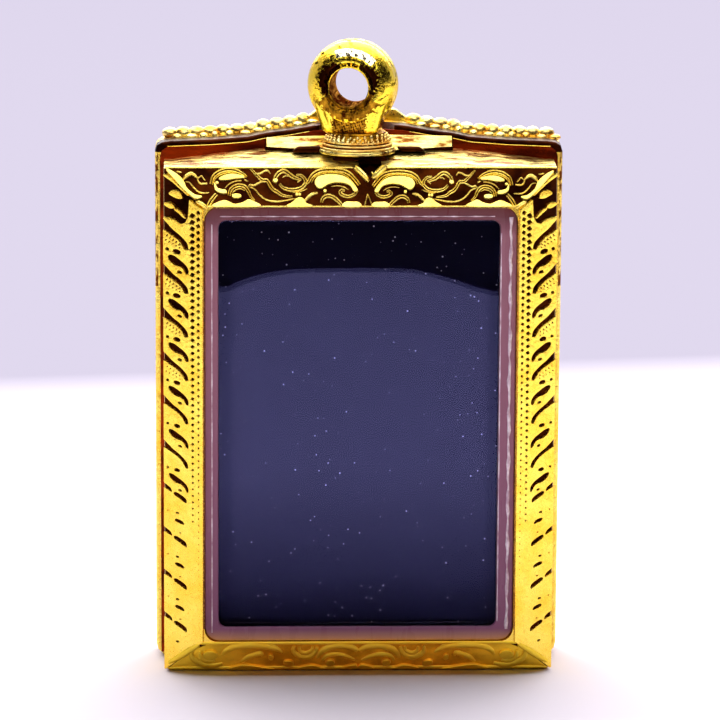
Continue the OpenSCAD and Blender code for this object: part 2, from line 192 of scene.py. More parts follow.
def squeeze(thing, test, size, center):
    """Scale the corners that pass the test about a point."""
    choose(thing, "VERT", test)
    bpy.ops.transform.resize(value=size, center_override=center)
    leave()


def shift(thing, test, value):
    """Move the corners that pass the test."""
    choose(thing, "VERT", test)
    bpy.ops.transform.translate(value=value)
    leave()


def give(thing, *materials):
    thing.data.materials.clear()
    for material in materials:
        thing.data.materials.append(material)


def finished(thing, angle=None, material=None):
    """Shade a piece, give it its finish, and bring it to its real size."""
    if angle is not None:
        smooth(thing, angle)
    if material is not None:
        give(thing, material)
    return to_metres(thing)


def paint(thing, finishes, rule):
    """Several finishes on one piece: the rule names the finish of a face by its middle and normal."""
    give(thing, *finishes)
    for face in thing.data.polygons:
        face.material_index = rule(face.center, face.normal)


# Lines drawn from given points: smooth curves, ridges with ends that thin out, and leaf outlines
def between(a, b, c, d, t):
    """Place on the smooth curve from b to c, with a before it and d after it."""
    return 0.5 * (2 * b + (c - a) * t + (2 * a - 5 * b + 4 * c - d) * t * t
                  + (3 * b - a - 3 * c + d) * t ** 3)


def flow(points, steps=6):
    """Smooth run of points through the given ones."""
    line = [Vector(p) for p in (points[0], *points, points[-1])]
    out = [between(*line[i:i + 4], k / steps) for i in range(len(points) - 1) for k in range(steps)]
    return out + [line[-1]]


def round_flow(points, steps=5):
    """The same for a closed outline."""
    line = [Vector(p) for p in (points[-1], *points, *points[:2])]
    return [between(*line[i:i + 4], k / steps) for i in range(len(points)) for k in range(steps)]


def thinning(t, start, end, run=0.3):
    """Share of a stroke's width along its length: full in the middle, less towards both ends."""
    if t < run:
        return start + (1 - start) * t / run
    if t > 1 - run:
        return end + (1 - end) * (1 - t) / run
    return 1.0


def beside(line, i, distance):
    """Place beside a point of a line, square to the line."""
    step = line[min(i + 1, len(line) - 1)] - line[max(i - 1, 0)]
    side = Vector((-step.y, step.x)).normalized()
    return line[i] + side * distance


def blunt(line, cut=0.05, tiny=0.004, sharp=0.9):
    """Closed outline with its sharp corners cut, so that a rounded edge stays small there."""
    out = []
    count = len(line)
    for i in range(count):
        a, b, c = line[i - 1], line[i], line[(i + 1) % count]
        if (b - a).length < tiny:
            continue
        if (c - b).length < tiny or (b - a).angle(c - b) < sharp:
            out.append(b)
        else:
            out.append(b + (a - b).normalized() * min(cut, (a - b).length * 0.4))
            out.append(b + (c - b).normalized() * min(cut, (c - b).length * 0.4))
    return out


def drawn(name, lines, flat=False, deep=0.0, round_edge=0.5, steps=2):
    """Curves turned into a mesh. Flat lines are closed outlines, others carry a width at each point."""
    thing = added(bpy.ops.curve.primitive_bezier_curve_add, location=(0, 0, 0))
    thing.name = name
    curve = thing.data
    curve.splines.clear()
    curve.dimensions = "2D" if flat else "3D"
    curve.fill_mode = "BOTH" if flat else "FULL"
    curve.bevel_depth = round_edge
    curve.bevel_resolution = steps
    curve.use_fill_caps = True
    if flat:
        curve.extrude = deep
        lines = [[(p, 1.0) for p in blunt(line)] for line in lines]
    for line in lines:
        spline = curve.splines.new("POLY")
        spline.points.add(len(line) - 1)
        spline.use_cyclic_u = flat
        for point, (place, width) in zip(spline.points, line):
            point.co = (place[0], place[1], 0.0, 1.0)
            point.radius = width
    pick(thing)
    bpy.ops.object.convert(target="MESH")
    thing = bpy.context.active_object
    clean(thing)
    return thing


def wires(name, strokes, tall=1.5, lift=0.04, double=True):
    """Rounded ridges. A stroke is points, width, and how thin its ends are; a middling one is doubled."""
    lines = []
    for points, width, start, end in strokes:
        line = flow(points)
        shares = [thinning(i / (len(line) - 1), start, end) for i in range(len(line))]
        if double and 0.2 <= width <= 0.27:
            for side in (-1, 1):
                lines.append([(beside(line, i, side * width * 0.46 * share), width * 0.54 * share)
                              for i, share in enumerate(shares)])
        else:
            lines.append([(point, width * share) for point, share in zip(line, shares)])
    thing = drawn(name, lines)
    thing.scale.z = tall
    thing.location.z = lift
    settle(thing)
    smooth(thing, 60)
    return thing


def plates(name, outlines, low=-0.1, high=0.27, edge=0.05):
    """Raised leaves with flat tops and round edges."""
    thing = drawn(name, outlines, flat=True, deep=(high - low) / 2 - edge, round_edge=edge)
    thing.location.z = (high + low) / 2
    settle(thing)
    smooth(thing, 50)
    return thing


def drop(x, y, w, h, turn=0.0, sides=10):
    """Small oval outline."""
    a = math.radians(turn)
    out = []
    for i in range(sides):
        t = 2 * math.pi * i / sides
        u, v = w / 2 * math.cos(t), h / 2 * math.sin(t)
        out.append(Vector((x + u * math.cos(a) - v * math.sin(a), y + u * math.sin(a) + v * math.cos(a))))
    return out


# Where the sloping bands lie: each place turns a flat drawing onto its band
def band_place(x_axis, y_axis, origin):
    x_axis, y_axis = Vector(x_axis).normalized(), Vector(y_axis).normalized()
    columns = Matrix((x_axis, y_axis, x_axis.cross(y_axis))).transposed().to_4x4()
    return Matrix.Translation(Vector(origin)) @ columns


LONG_STRETCH = math.hypot(LONG_BAND, FALL) / LONG_BAND
SIDE_STRETCH = math.hypot(SIDE_BAND, FALL) / SIDE_BAND
TOP_PLACE = band_place((1, 0, 0), (0, FALL, LONG_BAND), (0, WINDOW_Y, WINDOW_TOP))
LOW_PLACE = band_place((1, 0, 0), (0, -FALL, LONG_BAND), (0, RIM_Y, 0))
SIDE_PLACE = band_place((SIDE_BAND, FALL, 0), (0, 0, 1), (WINDOW_W / 2, WINDOW_Y, 0))


def put(thing, place, stretch):
    """Stretch a flat drawing to the width of a band and lay it there."""
    thing.scale = stretch
    settle(thing)
    thing.matrix_world = place
    settle(thing)


def stand(thing, y):
    """Turn a flat drawing upright at a depth, its Y upwards."""
    thing.matrix_world = band_place((1, 0, 0), (0, 0, 1), (0, y, 0))
    settle(thing)


def inward(line, distance):
    """Closed outline drawn in by a distance, or out when it is negative."""
    count = len(line)
    area = sum(line[i - 1].x * line[i].y - line[i].x * line[i - 1].y for i in range(count))
    out = []
    for i in range(count):
        a, b, c = line[i - 1], line[i], line[(i + 1) % count]
        one, two = (b - a).normalized(), (c - b).normalized()
        middle = Vector((-one.y - two.y, one.x + two.x)).normalized()
        reach = min(2.0, 1 / max(0.3, middle.dot(Vector((-one.y, one.x)))))
        out.append(b + middle * distance * reach * (1 if area > 0 else -1))
    return out


def slab(name, outlines, y0, y1, edge, steps=2):
    """Upright slab between two depths, drawn in X and Z. The first outline is its rim, others are holes."""
    outlines = [[Vector(p) for p in line] for line in outlines]
    outlines = [inward(line, -edge if i else edge) for i, line in enumerate(outlines)]
    thing = drawn(name, outlines, flat=True, deep=(y1 - y0) / 2 - edge, round_edge=edge, steps=steps)
    stand(thing, (y0 + y1) / 2)
    smooth(thing, 45)
    return thing


def round_box(w, z0, z1, r, count=6):
    """Rectangle outline with round corners."""
    out = []
    for cx, cz, start in ((w / 2 - r, z1 - r, 0), (-w / 2 + r, z1 - r, 90), (-w / 2 + r, z0 + r, 180),
                          (w / 2 - r, z0 + r, 270)):
        for i in range(count + 1):
            a = math.radians(start + 90 * i / count)
            out.append(Vector((cx + r * math.cos(a), cz + r * math.sin(a))))
    return out


def block(size, place, top_x, top_y, edge, segments=3):
    """Box with soft edges, narrower or wider at its top."""
    thing = added(bpy.ops.mesh.primitive_cube_add, size=1, location=place)
    thing.scale = size
    settle(thing)
    choose(thing, "FACE", lambda c, n: n.z > 0.9)
    bpy.ops.transform.resize(value=(top_x, top_y, 1), center_override=(0, 0, 0))
    leave()
    soften(thing, edge, segments, 20)
    return thing


def disc(radius, low, high, place=(0, 0), sides=72):
    """Round disc between two heights."""
    thing = added(bpy.ops.mesh.primitive_cylinder_add, vertices=sides, radius=radius, depth=high - low,
                  location=(*place, (low + high) / 2))
    settle(thing)
    return thing


# Finishes, in metres
def feed(node, inputs):
    """Set a node's inputs, each to a number, a colour, or the output that drives it."""
    for name, value in inputs.items():
        if isinstance(value, bpy.types.NodeSocket):
            node.id_data.links.new(value, node.inputs[name])
        else:
            node.inputs[name].default_value = value


def add_node(owner, kind, inputs, output, **settings):
    """New node of a material or the world, of which one output is given back."""
    node = owner.node_tree.nodes.new("ShaderNode" + kind)
    for name, value in settings.items():
        setattr(node, name, value)
    feed(node, inputs)
    return node.outputs[output]


def new_material(name):
    material = bpy.data.materials.new(name)
    material.use_nodes = True
    nodes = material.node_tree.nodes
    nodes.clear()
    shader = nodes.new("ShaderNodeBsdfPrincipled")
    feed(nodes.new("ShaderNodeOutputMaterial"), {"Surface": shader.outputs["BSDF"]})
    return material, shader


def along(material, axis):
    """Place on the object along one axis."""
    place = add_node(material, "TexCoord", {}, "Object")
    return add_node(material, "SeparateXYZ", {"Vector": place}, axis)


def from_middle(material):
    """How far a place lies to the left or the right of the middle."""
    return add_node(material, "Math", {0: along(material, "X")}, "Value", operation="ABSOLUTE")


def add_noise(material, scale, detail, rough, stretch=(1, 1, 1)):
    place = add_node(material, "TexCoord", {}, "Object")
    place = add_node(material, "Mapping", {"Vector": place, "Scale": stretch}, "Vector")
    return add_node(material, "TexNoise",
                    {"Vector": place, "Scale": scale, "Detail": detail, "Roughness": rough}, "Fac")


def add_ramp(owner, value, stops):
    """Colour by value: stops are places on the ramp with their colours."""
    fac = add_node(owner, "ValToRGB", {"Fac": value}, "Color")
    ramp = fac.node.color_ramp
    for element, (position, color) in zip(ramp.elements, (stops[0], stops[-1])):
        element.position = position
        element.color = (*color, 1)
    for position, color in stops[1:-1]:
        ramp.elements.new(position).color = (*color, 1)
    return fac


def add_range(owner, value, low, high, start=0.3, end=0.7):
    """Value turned from the range start to end into the range low to high."""
    return add_node(owner, "MapRange", {"Value": value, "From Min": start, "From Max": end, "To Min": low,
                                        "To Max": high}, "Result")


def add_mix(material, amount, a, b):
    return add_node(material, "Mix", {"Factor": amount, "A": a, "B": b}, "Result", data_type="RGBA")


def add_bump(material, value, strength, distance, below=None):
    inputs = {"Height": value, "Strength": strength, "Distance": distance}
    if below is not None:
        inputs["Normal"] = below
    return add_node(material, "Bump", inputs, "Normal")


WAVE_HEIGHT = 0.00018
SKIN_HEIGHT = 0.00006


def gold(name, light, dark, smoothest, roughest, grain, strength, metallic=1.0, stretch=(1, 1, 1),
         patch=420.0, stops=(0.35, 0.62), shine=0.5):
    """Plated gold: colour and gloss vary in small patches, with a fine cast skin over a soft waviness."""
    material, shader = new_material(name)
    patches = add_noise(material, patch, 4.0, 0.6, stretch)
    skin = add_noise(material, grain, 4.0, 0.62, stretch)
    wave = add_bump(material, patches, strength * 0.6, WAVE_HEIGHT)
    feed(shader, {"Metallic": metallic,
                  "Specular IOR Level": shine,
                  "Base Color": add_ramp(material, patches, [(stops[0], dark), (stops[1], light)]),
                  "Roughness": add_range(material, skin, smoothest, roughest),
                  "Normal": add_bump(material, skin, strength, SKIN_HEIGHT, wave)})
    return material


def painted_light_corners(material, color, start=0.009, end=0.014):
    """Painted light: the same plate, more yellow towards the two ends of the band."""
    shader = next(node for node in material.node_tree.nodes if node.type == "BSDF_PRINCIPLED")
    plain = shader.inputs["Base Color"].links[0].from_socket
    amount = add_range(material, from_middle(material), 0.0, 0.9, start, end)
    feed(shader, {"Base Color": add_mix(material, amount, plain, (*color, 1))})


GOLD_BRIGHT = gold("bright_plate", (1.0, 0.74, 0.12), (1.0, 0.6, 0.06), 0.12, 0.28, 3600.0, 0.14)
GOLD_SIDE = gold("rear_plate", (1.0, 0.78, 0.16), (1.0, 0.62, 0.07), 0.2, 0.4, 3000.0, 0.9)
GOLD_TOP = gold("streaked_top_plate", (1.0, 0.82, 0.25), (0.2, 0.06, 0.006), 0.2, 0.45, 2400.0, 1.0,
                stretch=(0.3, 1, 1), patch=1500.0, stops=(0.38, 0.55))
GOLD_ROUGH = gold("rough_plate", (1.0, 0.86, 0.33), (0.72, 0.36, 0.04), 0.2, 0.45, 2400.0, 1.0,
                  stretch=(0.45, 1, 1), patch=900.0)
GOLD_RELIEF = gold("relief_plate", (1.0, 0.73, 0.1), (1.0, 0.6, 0.05), 0.14, 0.34, 3400.0, 0.45)
GOLD_LEAF = gold("leaf_plate", (0.96, 0.78, 0.17), (0.85, 0.6, 0.1), 0.2, 0.36, 3600.0, 0.5, metallic=0.9)
# Rough brown plate of the neck and its collar, darkened as painted shade; it is also the painted shade on the
# ring below the bore
NECK_PLATE_AND_SHADE = gold("neck_plate_and_painted_shade", (0.62, 0.3, 0.015), (0.05, 0.008, 0.0008), 0.25, 0.5, 3000.0, 1.0,
                 stretch=(1, 1, 0.5), patch=1500.0)
GOLD_LOW = gold("low_band_plate", (1.0, 0.66, 0.05), (1.0, 0.56, 0.03), 0.45, 0.62, 3600.0, 0.2)
GOLD_EYE = gold("eye_plate", (1.0, 0.78, 0.07), (1.0, 0.62, 0.03), 0.08, 0.24, 3600.0, 0.7)
# Painted shade inside the bore: brown gold that is not metallic, with patches darker still
BORE_PAINTED_SHADE = gold("bore_painted_shade", (0.7, 0.33, 0.05), (0.09, 0.016, 0.002), 0.5, 0.75, 2600.0, 1.0,
                 metallic=0.0, stretch=(1, 0.6, 1), patch=800.0, stops=(0.4, 0.6), shine=0.0)
# Speckled plate for the upper front edges of the rim; its dark brown is partly painted shade of the gap
# beside the front casing
SPECKLED_PLATE_AND_SHADE = gold("speckled_plate_and_painted_shade", (1.0, 0.72, 0.14), (0.16, 0.04, 0.004), 0.2, 0.4, 3000.0, 0.9,
                     stretch=(1, 1, 0.5), patch=2200.0, stops=(0.45, 0.57))
# Painted highlight: near-white gold on the upper front of the ring, where the light is mirrored
PAINTED_HIGHLIGHT_PALE = gold("pale_painted_highlight", (1.0, 0.95, 0.75), (1.0, 0.86, 0.42), 0.1, 0.22, 3600.0, 0.5)
# Painted shade: near-black gold where the casing lies in shade or mirrors the dark front, in bands, gaps,
# hollows and pits
PAINTED_SHADE_DARK = gold("dark_painted_shade", (0.045, 0.008, 0.0008), (0.01, 0.0015, 0.0004), 0.3, 0.5, 3000.0, 0.6)
GROUND_LOW = gold("low_ground", (0.95, 0.46, 0.02), (0.6, 0.24, 0.006), 0.55, 0.72, 3000.0, 0.3)
# Painted shade in dark red, for the channel behind the front casing and the grooves of the eye's foot
PAINTED_SHADE_RED = gold("red_painted_shade", (0.3, 0.03, 0.005), (0.06, 0.006, 0.002), 0.25, 0.45, 2200.0, 0.6,
                  stretch=(0.3, 1, 1))
# Painted light on the two ends of the bottom band.
painted_light_corners(GOLD_LOW, (1.0, 0.74, 0.06))
painted_light_corners(GROUND_LOW, (1.0, 0.72, 0.05))


def clear_box():
    """Clear acrylic, whose blue shine is painted reflection: weaker near its base and at its sides."""
    material, shader = new_material("clear_acrylic")
    # Painted reflection: the strength of the blue shine is set by height and by the distance from the middle.
    rise = add_range(material, along(material, "Z"), 0.0, 1.0, 0.0, 0.02)
    low = add_ramp(material, rise, [(at, (level, level, level)) for at, level in
                                    ((0.24, 0.12), (0.34, 0.3), (0.44, 0.55), (0.95, 1.0))])
    sides = add_range(material, from_middle(material), 1.0, 0.7, 0.0108, 0.0116)
    both = add_node(material, "Math", {0: low, 1: sides}, "Value", operation="MULTIPLY")
    haze = add_noise(material, 160.0, 2.0, 0.5)
    feed(shader, {"Base Color": (0.93, 0.93, 0.97, 1),
                  "Transmission Weight": 1.0,
                  "IOR": 1.49,
                  "Specular Tint": add_mix(material, both, (0.0, 0.0, 0.0, 1), (0.35, 0.365, 0.93, 1)),
                  "Roughness": add_range(material, haze, 0.002, 0.006)})
    return material


def frosted_wall():
    """Cut edge of the box: purple grey, darker towards the top, and warmer towards the base, where a painted
    reflection of the gold colours it.
    """
    material, shader = new_material("frosted_acrylic_edge")
    rise = add_range(material, along(material, "Z"), 0.0, 1.0, 0.003, 0.0425)
    haze = add_noise(material, 900.0, 3.0, 0.6, (1, 1, 0.15))
    feed(shader, {"Specular IOR Level": 0.25,
                  # Painted reflection of the gold at the base; darker towards the top.
                  "Base Color": add_ramp(material, rise, [
                      (0.0, (0.75, 0.4, 0.18)), (0.012, (0.6, 0.3, 0.2)), (0.03, (0.3, 0.1, 0.2)),
                      (0.93, (0.38, 0.15, 0.2)), (0.965, (0.2, 0.06, 0.08)), (1.0, (0.14, 0.03, 0.03))]),
                  "Roughness": add_range(material, haze, 0.2, 0.45),
                  "Normal": add_bump(material, haze, 0.4, 0.0001)})
    return material


def edge_highlight_paint():
    """Painted highlight for the inner edges of the box: pale, glossy and a little uneven."""
    material, shader = new_material("edge_highlight_paint")
    haze = add_noise(material, 1500.0, 2.0, 0.5)
    color = add_ramp(material, haze, [(0.3, (0.6, 0.38, 0.5)), (0.62, (0.97, 0.85, 0.93))])
    feed(shader, {"Base Color": color, "Roughness": add_range(material, haze, 0.1, 0.3)})
    return material


def dark_plate():
    """Near-black blue lacquer with a few grains of pale dust and a soft cloudiness."""
    material, shader = new_material("dusty_dark_plate")
    clouds = add_noise(material, 60.0, 4.0, 0.6)
    base = add_ramp(material, clouds, [(0.3, (0.0003, 0.0002, 0.0015)), (0.7, (0.0008, 0.0005, 0.003))])
    place = add_node(material, "TexCoord", {}, "Object")
    cells = add_node(material, "TexVoronoi", {"Vector": place, "Scale": 1500.0}, "Distance")
    near = add_range(material, cells, 1.0, 0.0, 0.04, 0.115)
    rare = add_range(material, add_noise(material, 900.0, 1.0, 0.5), 0.0, 1.0, 0.36, 0.64)
    dust = add_node(material, "Math", {0: near, 1: rare}, "Value", operation="MULTIPLY")
    feed(shader, {"Base Color": add_mix(material, dust, base, (0.7, 0.66, 0.76, 1)),
                  "Roughness": add_range(material, clouds, 0.28, 0.34),
                  "Specular IOR Level": 0.1,
                  "Specular Tint": (0.3, 0.3, 1.0, 1)})
    return material


CLEAR = clear_box()
FROSTED = frosted_wall()
EDGE_HIGHLIGHT_PAINT = edge_highlight_paint()
PLATE = dark_plate()


# Mouldings
def pull(y):
    """Extrude what is selected towards the back."""
    bpy.ops.mesh.extrude_region_move(TRANSFORM_OT_translate={"value": (0, y, 0)})


def moulding(name, wide, high, window_low, window_top, fall, deep, lip, flange, border=3.0, rear=1.0):
    """Frame whose face rises to its window, with a lip and a wider space behind it. Its rim lies at Y 0."""
    thing = added(bpy.ops.mesh.primitive_cube_add, size=1, location=(0, deep / 2, high / 2))
    thing.name = name
    thing.scale = (wide, deep, high)
    settle(thing)
    window_h = window_top - window_low
    middle = (window_top + window_low) / 2
    space_w, space_h = WINDOW_W + 2 * flange, window_h + 2 * flange
    choose(thing, "FACE", lambda c, n: n.y < -0.9)
    bpy.ops.mesh.inset(thickness=border)
    bpy.ops.transform.resize(value=(WINDOW_W / (wide - 2 * border), 1, window_h / (high - 2 * border)),
                             center_override=(0, 0, high / 2))
    bpy.ops.transform.translate(value=(0, -fall, middle - high / 2))
    pull(lip)
    pull(0)
    bpy.ops.transform.resize(value=(space_w / WINDOW_W, 1, space_h / window_h),
                             center_override=(0, 0, middle))
    pull(deep + fall - lip)
    bpy.ops.mesh.delete(type="FACE")
    choose(thing, "FACE", lambda c, n: n.y > 0.9 and c.y > deep - 0.01)
    bpy.ops.mesh.inset(thickness=rear)
    bpy.ops.transform.resize(value=(space_w / (wide - 2 * rear), 1, space_h / (high - 2 * rear)),
                             center_override=(0, 0, high / 2))
    bpy.ops.transform.translate(value=(0, 0, middle - high / 2))
    bpy.ops.mesh.delete(type="FACE")
    leave()
    clean(thing, 0.001)
    inner = space_w / 2 + 0.01
    choose(thing, "EDGE", lambda a, b: abs(a.x - b.x) + abs(a.z - b.z) < 0.001 and abs(a.x) < inner)
    bpy.ops.mesh.bevel(offset=WINDOW_ROUND, segments=5, affect="EDGES")
    leave()
    return thing


def front_finish(c, n):
    """Dark painted shade in the top and side bands, in the break of the top edge and on the upper faces that
    look forward; an orange ground in the bottom band, streaked on top, bright elsewhere.
    """
    if n.y < -0.6 and abs(n.z) + abs(n.x) > 0.3 and c.y < RIM_Y + 0.05:
        return 2 if n.z < -0.3 else 1
    if abs(c.x - NOTCH_X) < 1.1 and c.y < -1.3 and c.z > 44.6 and (abs(n.x) > 0.2 or n.y < -0.5):
        return 1
    if n.z > 0.5 and c.z > 45:
        return 3
    return 1 if n.y < 0.3 and c.z > 45.55 else 0


def front_body():
    """Front moulding with its gable, the stepped top under the eye and the break in the top edge."""
    body = moulding("front_casing", FRONT_W, FRONT_H, WINDOW_LOW, WINDOW_TOP, FALL, SEAM_Y - RIM_Y, 1.2, 1.1)
    body.location.y = RIM_Y
    settle(body)
    choose(body, "EDGE",
           lambda a, b: abs(a.x - b.x) + abs(a.z - b.z) < 0.001 and a.z < 0.01 and abs(a.x) > 17)
    bpy.ops.mesh.bevel(offset=0.5, segments=3, affect="EDGES")
    leave()
    soften(body, 0.08, 2, 50)
    gable = slab("gable", [(
        (-16.6, 45.0), (16.6, 45.0), (16.4, 45.52), (14.2, 45.78), (12.2, 46.05), (9.2, 46.4), (5, 46.5),
        (-5, 46.5), (-9.2, 46.4), (-12.2, 46.05), (-14.2, 45.78), (-16.4, 45.52))],
        RIM_Y + 0.35, SEAM_Y, 0.06)
    squeeze(gable, lambda c: c.y < RIM_Y + 0.6 and c.z > 45.4, (1, 1, 0.0), (0, 0, 45.46))
    front = SHIFT - 0.5
    step = slab("step", [(
        (-8.4, 45.3), (8.3, 45.3), (8.25, 47.55), (5.5, 47.6), (2.8, 47.65), (-2.8, 47.6), (-5.5, 47.5),
        (-8.25, 47.42))], front, SEAM_Y, 0.08)
    squeeze(step, lambda c: c.y < front + 0.25 and c.z > 45.8, (1, 1, 0), (0, 0, 46.54))
    for reach, back, up in ((8.2, 0.82, 0.12), (5.5, 0.32, 0.04), (2.8, -0.3, 0.0)):
        shift(step, lambda c: c.y < front + 0.25 and abs(abs(c.x) - reach) < 0.7, (0, back, up))
    round_step = disc(3.4, -0.42, 0.0)
    round_step.scale.y = 0.76
    round_step.location = (FOOT_X, EYE_Y, STEP_Z)
    settle(round_step)
    soften(round_step, 0.15, 3, 40)
    # The blocks under the step carry dark painted shade all over.
    under = joined("under", [block((5.2, 2.4, 0.8), (0.05, -0.2, 45.98), 0.84, 1, 0.35, 4),
                             block((3.0, 0.56, 0.6), (-4.6, 0.1, 46.55), 0.9, 1, 0.27, 5),
                             block((2.3, 0.56, 0.48), (4.75, 0.2, 46.57), 0.9, 1, 0.22, 5)])
    left, right = NOTCH_X - 1, NOTCH_X + 1
    notch = slab("notch", [((left, 45.45), (left, 47.2), (right, 47.2), (right, 45.45), (NOTCH_X, 44.72))],
                 -4.2, -1.35, 0.0)
    for part in (body, gable):
        modify(part, "BOOLEAN", object=notch, solver="EXACT")
    bpy.data.objects.remove(notch)
    corners = []
    for side in (-1, 1):
        for z, up in ((WINDOW_LOW, 1), (WINDOW_TOP, -1)):
            turns = [math.radians(15 * i) for i in range(7)]
            arc = [(side * (WINDOW_W / 2 - WINDOW_ROUND * (1 - math.sin(a))),
                    z + up * WINDOW_ROUND * (1 - math.cos(a))) for a in turns]
            arc.append((side * (WINDOW_W / 2 + 0.15), z - up * 0.15))
            corners.append(slab("corner", [arc], WINDOW_Y - 0.06, WINDOW_Y + 0.3, 0.02))
    corners = joined("corners", corners)
    for part, rule in ((body, front_finish), (gable, front_finish), (step, front_finish),
                       (round_step, lambda c, n: 3), (under, lambda c, n: 1), (corners, lambda c, n: 0)):
        paint(part, (GOLD_BRIGHT, PAINTED_SHADE_DARK, GROUND_LOW, GOLD_TOP), rule)
    thing = joined("front_casing", [body, gable, step, round_step, under, corners])
    return finished(thing, 35)


# Ornament of the top band, left half: X across, Y up from the window
TOP_STROKES = [
    ([(-14.4, 0.42), (-13.9, 0.22), (-13.4, -0.12)], 0.36, 0.2, 0.5),
    ([(-13.35, 0.0), (-13.05, 0.5), (-12.6, 1.0)], 0.26, 0.8, 0.8),
    ([(-15.5, 2.08), (-15.25, 2.4), (-14.75, 2.6), (-14.3, 2.32)], 0.34, 0.3, 0.5),
    ([(-14.3, 2.35), (-14.18, 2.0), (-13.95, 1.82), (-13.4, 1.84)], 0.17, 0.9, 0.8),
    ([(-14.2, 2.25), (-13.92, 2.43), (-13.7, 2.2), (-13.55, 2.08)], 0.13, 0.9, 0.5),
    ([(-15.34, 1.97), (-14.97, 1.92), (-14.62, 1.55), (-14.2, 1.2), (-13.8, 1.08),
      (-13.25, 1.1)], 0.15, 0.4, 0.6),
    ([(-16.07, 2.8), (-15.6, 2.7)], 0.14, 0.5, 0.5),
    ([(-13.06, 1.78), (-12.9, 2.34), (-12.5, 2.68), (-12.0, 2.88), (-11.4, 2.94), (-10.84, 2.84),
      (-10.3, 2.6), (-9.97, 2.34)], 0.24, 0.9, 0.5),
    ([(-12.86, 1.84), (-12.7, 2.2), (-12.3, 2.5), (-11.8, 2.66), (-11.3, 2.7),
      (-10.8, 2.6)], 0.1, 0.9, 0.3),
    ([(-11.85, 1.47), (-11.48, 1.81), (-11.0, 2.02), (-10.43, 2.08)], 0.13, 0.5, 0.8),
    ([(-10.2, 2.14), (-9.88, 2.03)], 0.13, 0.6, 0.6),
    ([(-11.5, 0.86), (-11.4, 1.29), (-11.05, 1.6), (-10.55, 1.7), (-10.1, 1.55), (-9.8, 1.18),
      (-9.6, 0.8), (-9.27, 0.5)], 0.22, 0.9, 0.4),
    ([(-11.25, 0.86), (-11.15, 1.15), (-10.85, 1.36), (-10.5, 1.42), (-10.15, 1.28)], 0.1, 0.9, 0.5),
    ([(-9.67, 3.05), (-9.38, 2.79), (-8.95, 2.36), (-8.6, 2.1), (-8.2, 2.06), (-7.98, 1.75), (-7.7, 1.4),
      (-7.27, 1.16), (-6.95, 0.94), (-6.5, 0.84), (-6.0, 0.82)], 0.22, 0.5, 0.4),
    ([(-9.82, 1.56), (-9.7, 1.74), (-9.35, 1.68), (-8.95, 1.86), (-8.55, 2.02)], 0.17, 0.8, 0.8),
    ([(-9.25, 2.65), (-8.8, 2.62), (-8.4, 2.82), (-8.1, 2.84), (-7.9, 2.6)], 0.16, 0.6, 0.8),
    ([(-9.7, 1.56), (-9.24, 1.36), (-8.9, 0.98), (-8.45, 0.64), (-7.96, 0.46), (-7.38, 0.41),
      (-6.8, 0.46), (-6.0, 0.6), (-5.46, 0.66)], 0.15, 0.8, 0.5),
    ([(-7.59, 1.94), (-7.44, 2.34), (-7.18, 2.65), (-6.8, 2.83), (-6.45, 2.72), (-6.0, 2.4), (-5.6, 2.23),
      (-5.2, 2.12)], 0.25, 0.9, 0.4),
    ([(-7.1, 1.8), (-6.82, 1.52), (-6.34, 1.36), (-5.87, 1.33), (-5.4, 1.41), (-5.05, 1.6), (-4.82, 1.92),
      (-4.95, 2.26), (-5.25, 2.48), (-5.65, 2.5)], 0.22, 0.7, 0.5),
    ([(-6.85, 2.3), (-6.6, 2.44), (-6.3, 2.42)], 0.1, 0.5, 0.5),
    ([(-5.55, 1.9), (-5.3, 2.1)], 0.1, 0.5, 0.5),
    ([(-5.95, 1.14), (-5.4, 1.18), (-4.7, 1.42)], 0.1, 0.5, 0.5),
    ([(-4.9, 1.75), (-4.6, 1.95), (-4.42, 2.25), (-4.15, 2.54), (-3.72, 2.78), (-3.14, 2.9),
      (-2.26, 2.92), (-1.51, 2.83), (-0.98, 2.6), (-0.52, 2.18), (-0.14, 1.72)], 0.26, 0.5, 0.8),
    ([(-4.3, 1.9), (-4.1, 2.25), (-3.7, 2.52), (-3.1, 2.66), (-2.4, 2.69), (-1.7, 2.62), (-1.2, 2.38),
      (-0.78, 2.0), (-0.45, 1.6)], 0.09, 0.8, 0.8),
    ([(-0.36, 1.3), (-0.55, 1.02), (-0.87, 0.86), (-1.22, 0.82), (-1.6, 0.92), (-1.85, 1.12),
      (-1.65, 1.32), (-1.42, 1.25)], 0.2, 0.9, 0.5),
    ([(-2.6, 1.6), (-2.05, 1.66), (-1.5, 1.56), (-1.1, 1.34)], 0.1, 0.4, 0.4),
    ([(-5.0, 0.4), (-4.6, 0.76), (-4.24, 1.0), (-3.78, 1.1)], 0.28, 0.8, 0.5),
    ([(-3.45, 0.33), (-3.36, 0.62), (-3.08, 0.82), (-2.75, 0.85), (-2.38, 0.72), (-2.03, 0.45),
      (-1.7, 0.15)], 0.24, 0.8, 0.8),
]
TOP_MIDDLE = [
    ([(-13.75, 0.02), (0.0, 0.02), (13.75, 0.02)], 0.13, 1.0, 1.0),
    ([(-17.1, 3.1), (-9, 3.1), (-0.72, 3.1)], 0.14, 1.0, 1.0),
    ([(17.1, 3.1), (9, 3.1), (2.3, 3.1)], 0.14, 1.0, 1.0),
    ([(-0.5, 3.12), (0.1, 2.6), (0.7, 1.98)], 0.5, 0.8, 0.4),
    ([(2.1, 3.12), (1.6, 2.74), (1.0, 2.24)], 0.6, 0.9, 0.4),
    ([(0.95, 2.75), (1.12, 2.5), (1.35, 2.3)], 0.12, 0.6, 0.6),
    ([(0.28, 0.0), (0.42, 0.5), (0.56, 1.05)], 0.13, 1.0, 0.4),
    ([(0.98, 0.0), (0.8, 0.45), (0.58, 1.0)], 0.11, 1.0, 0.4),
]
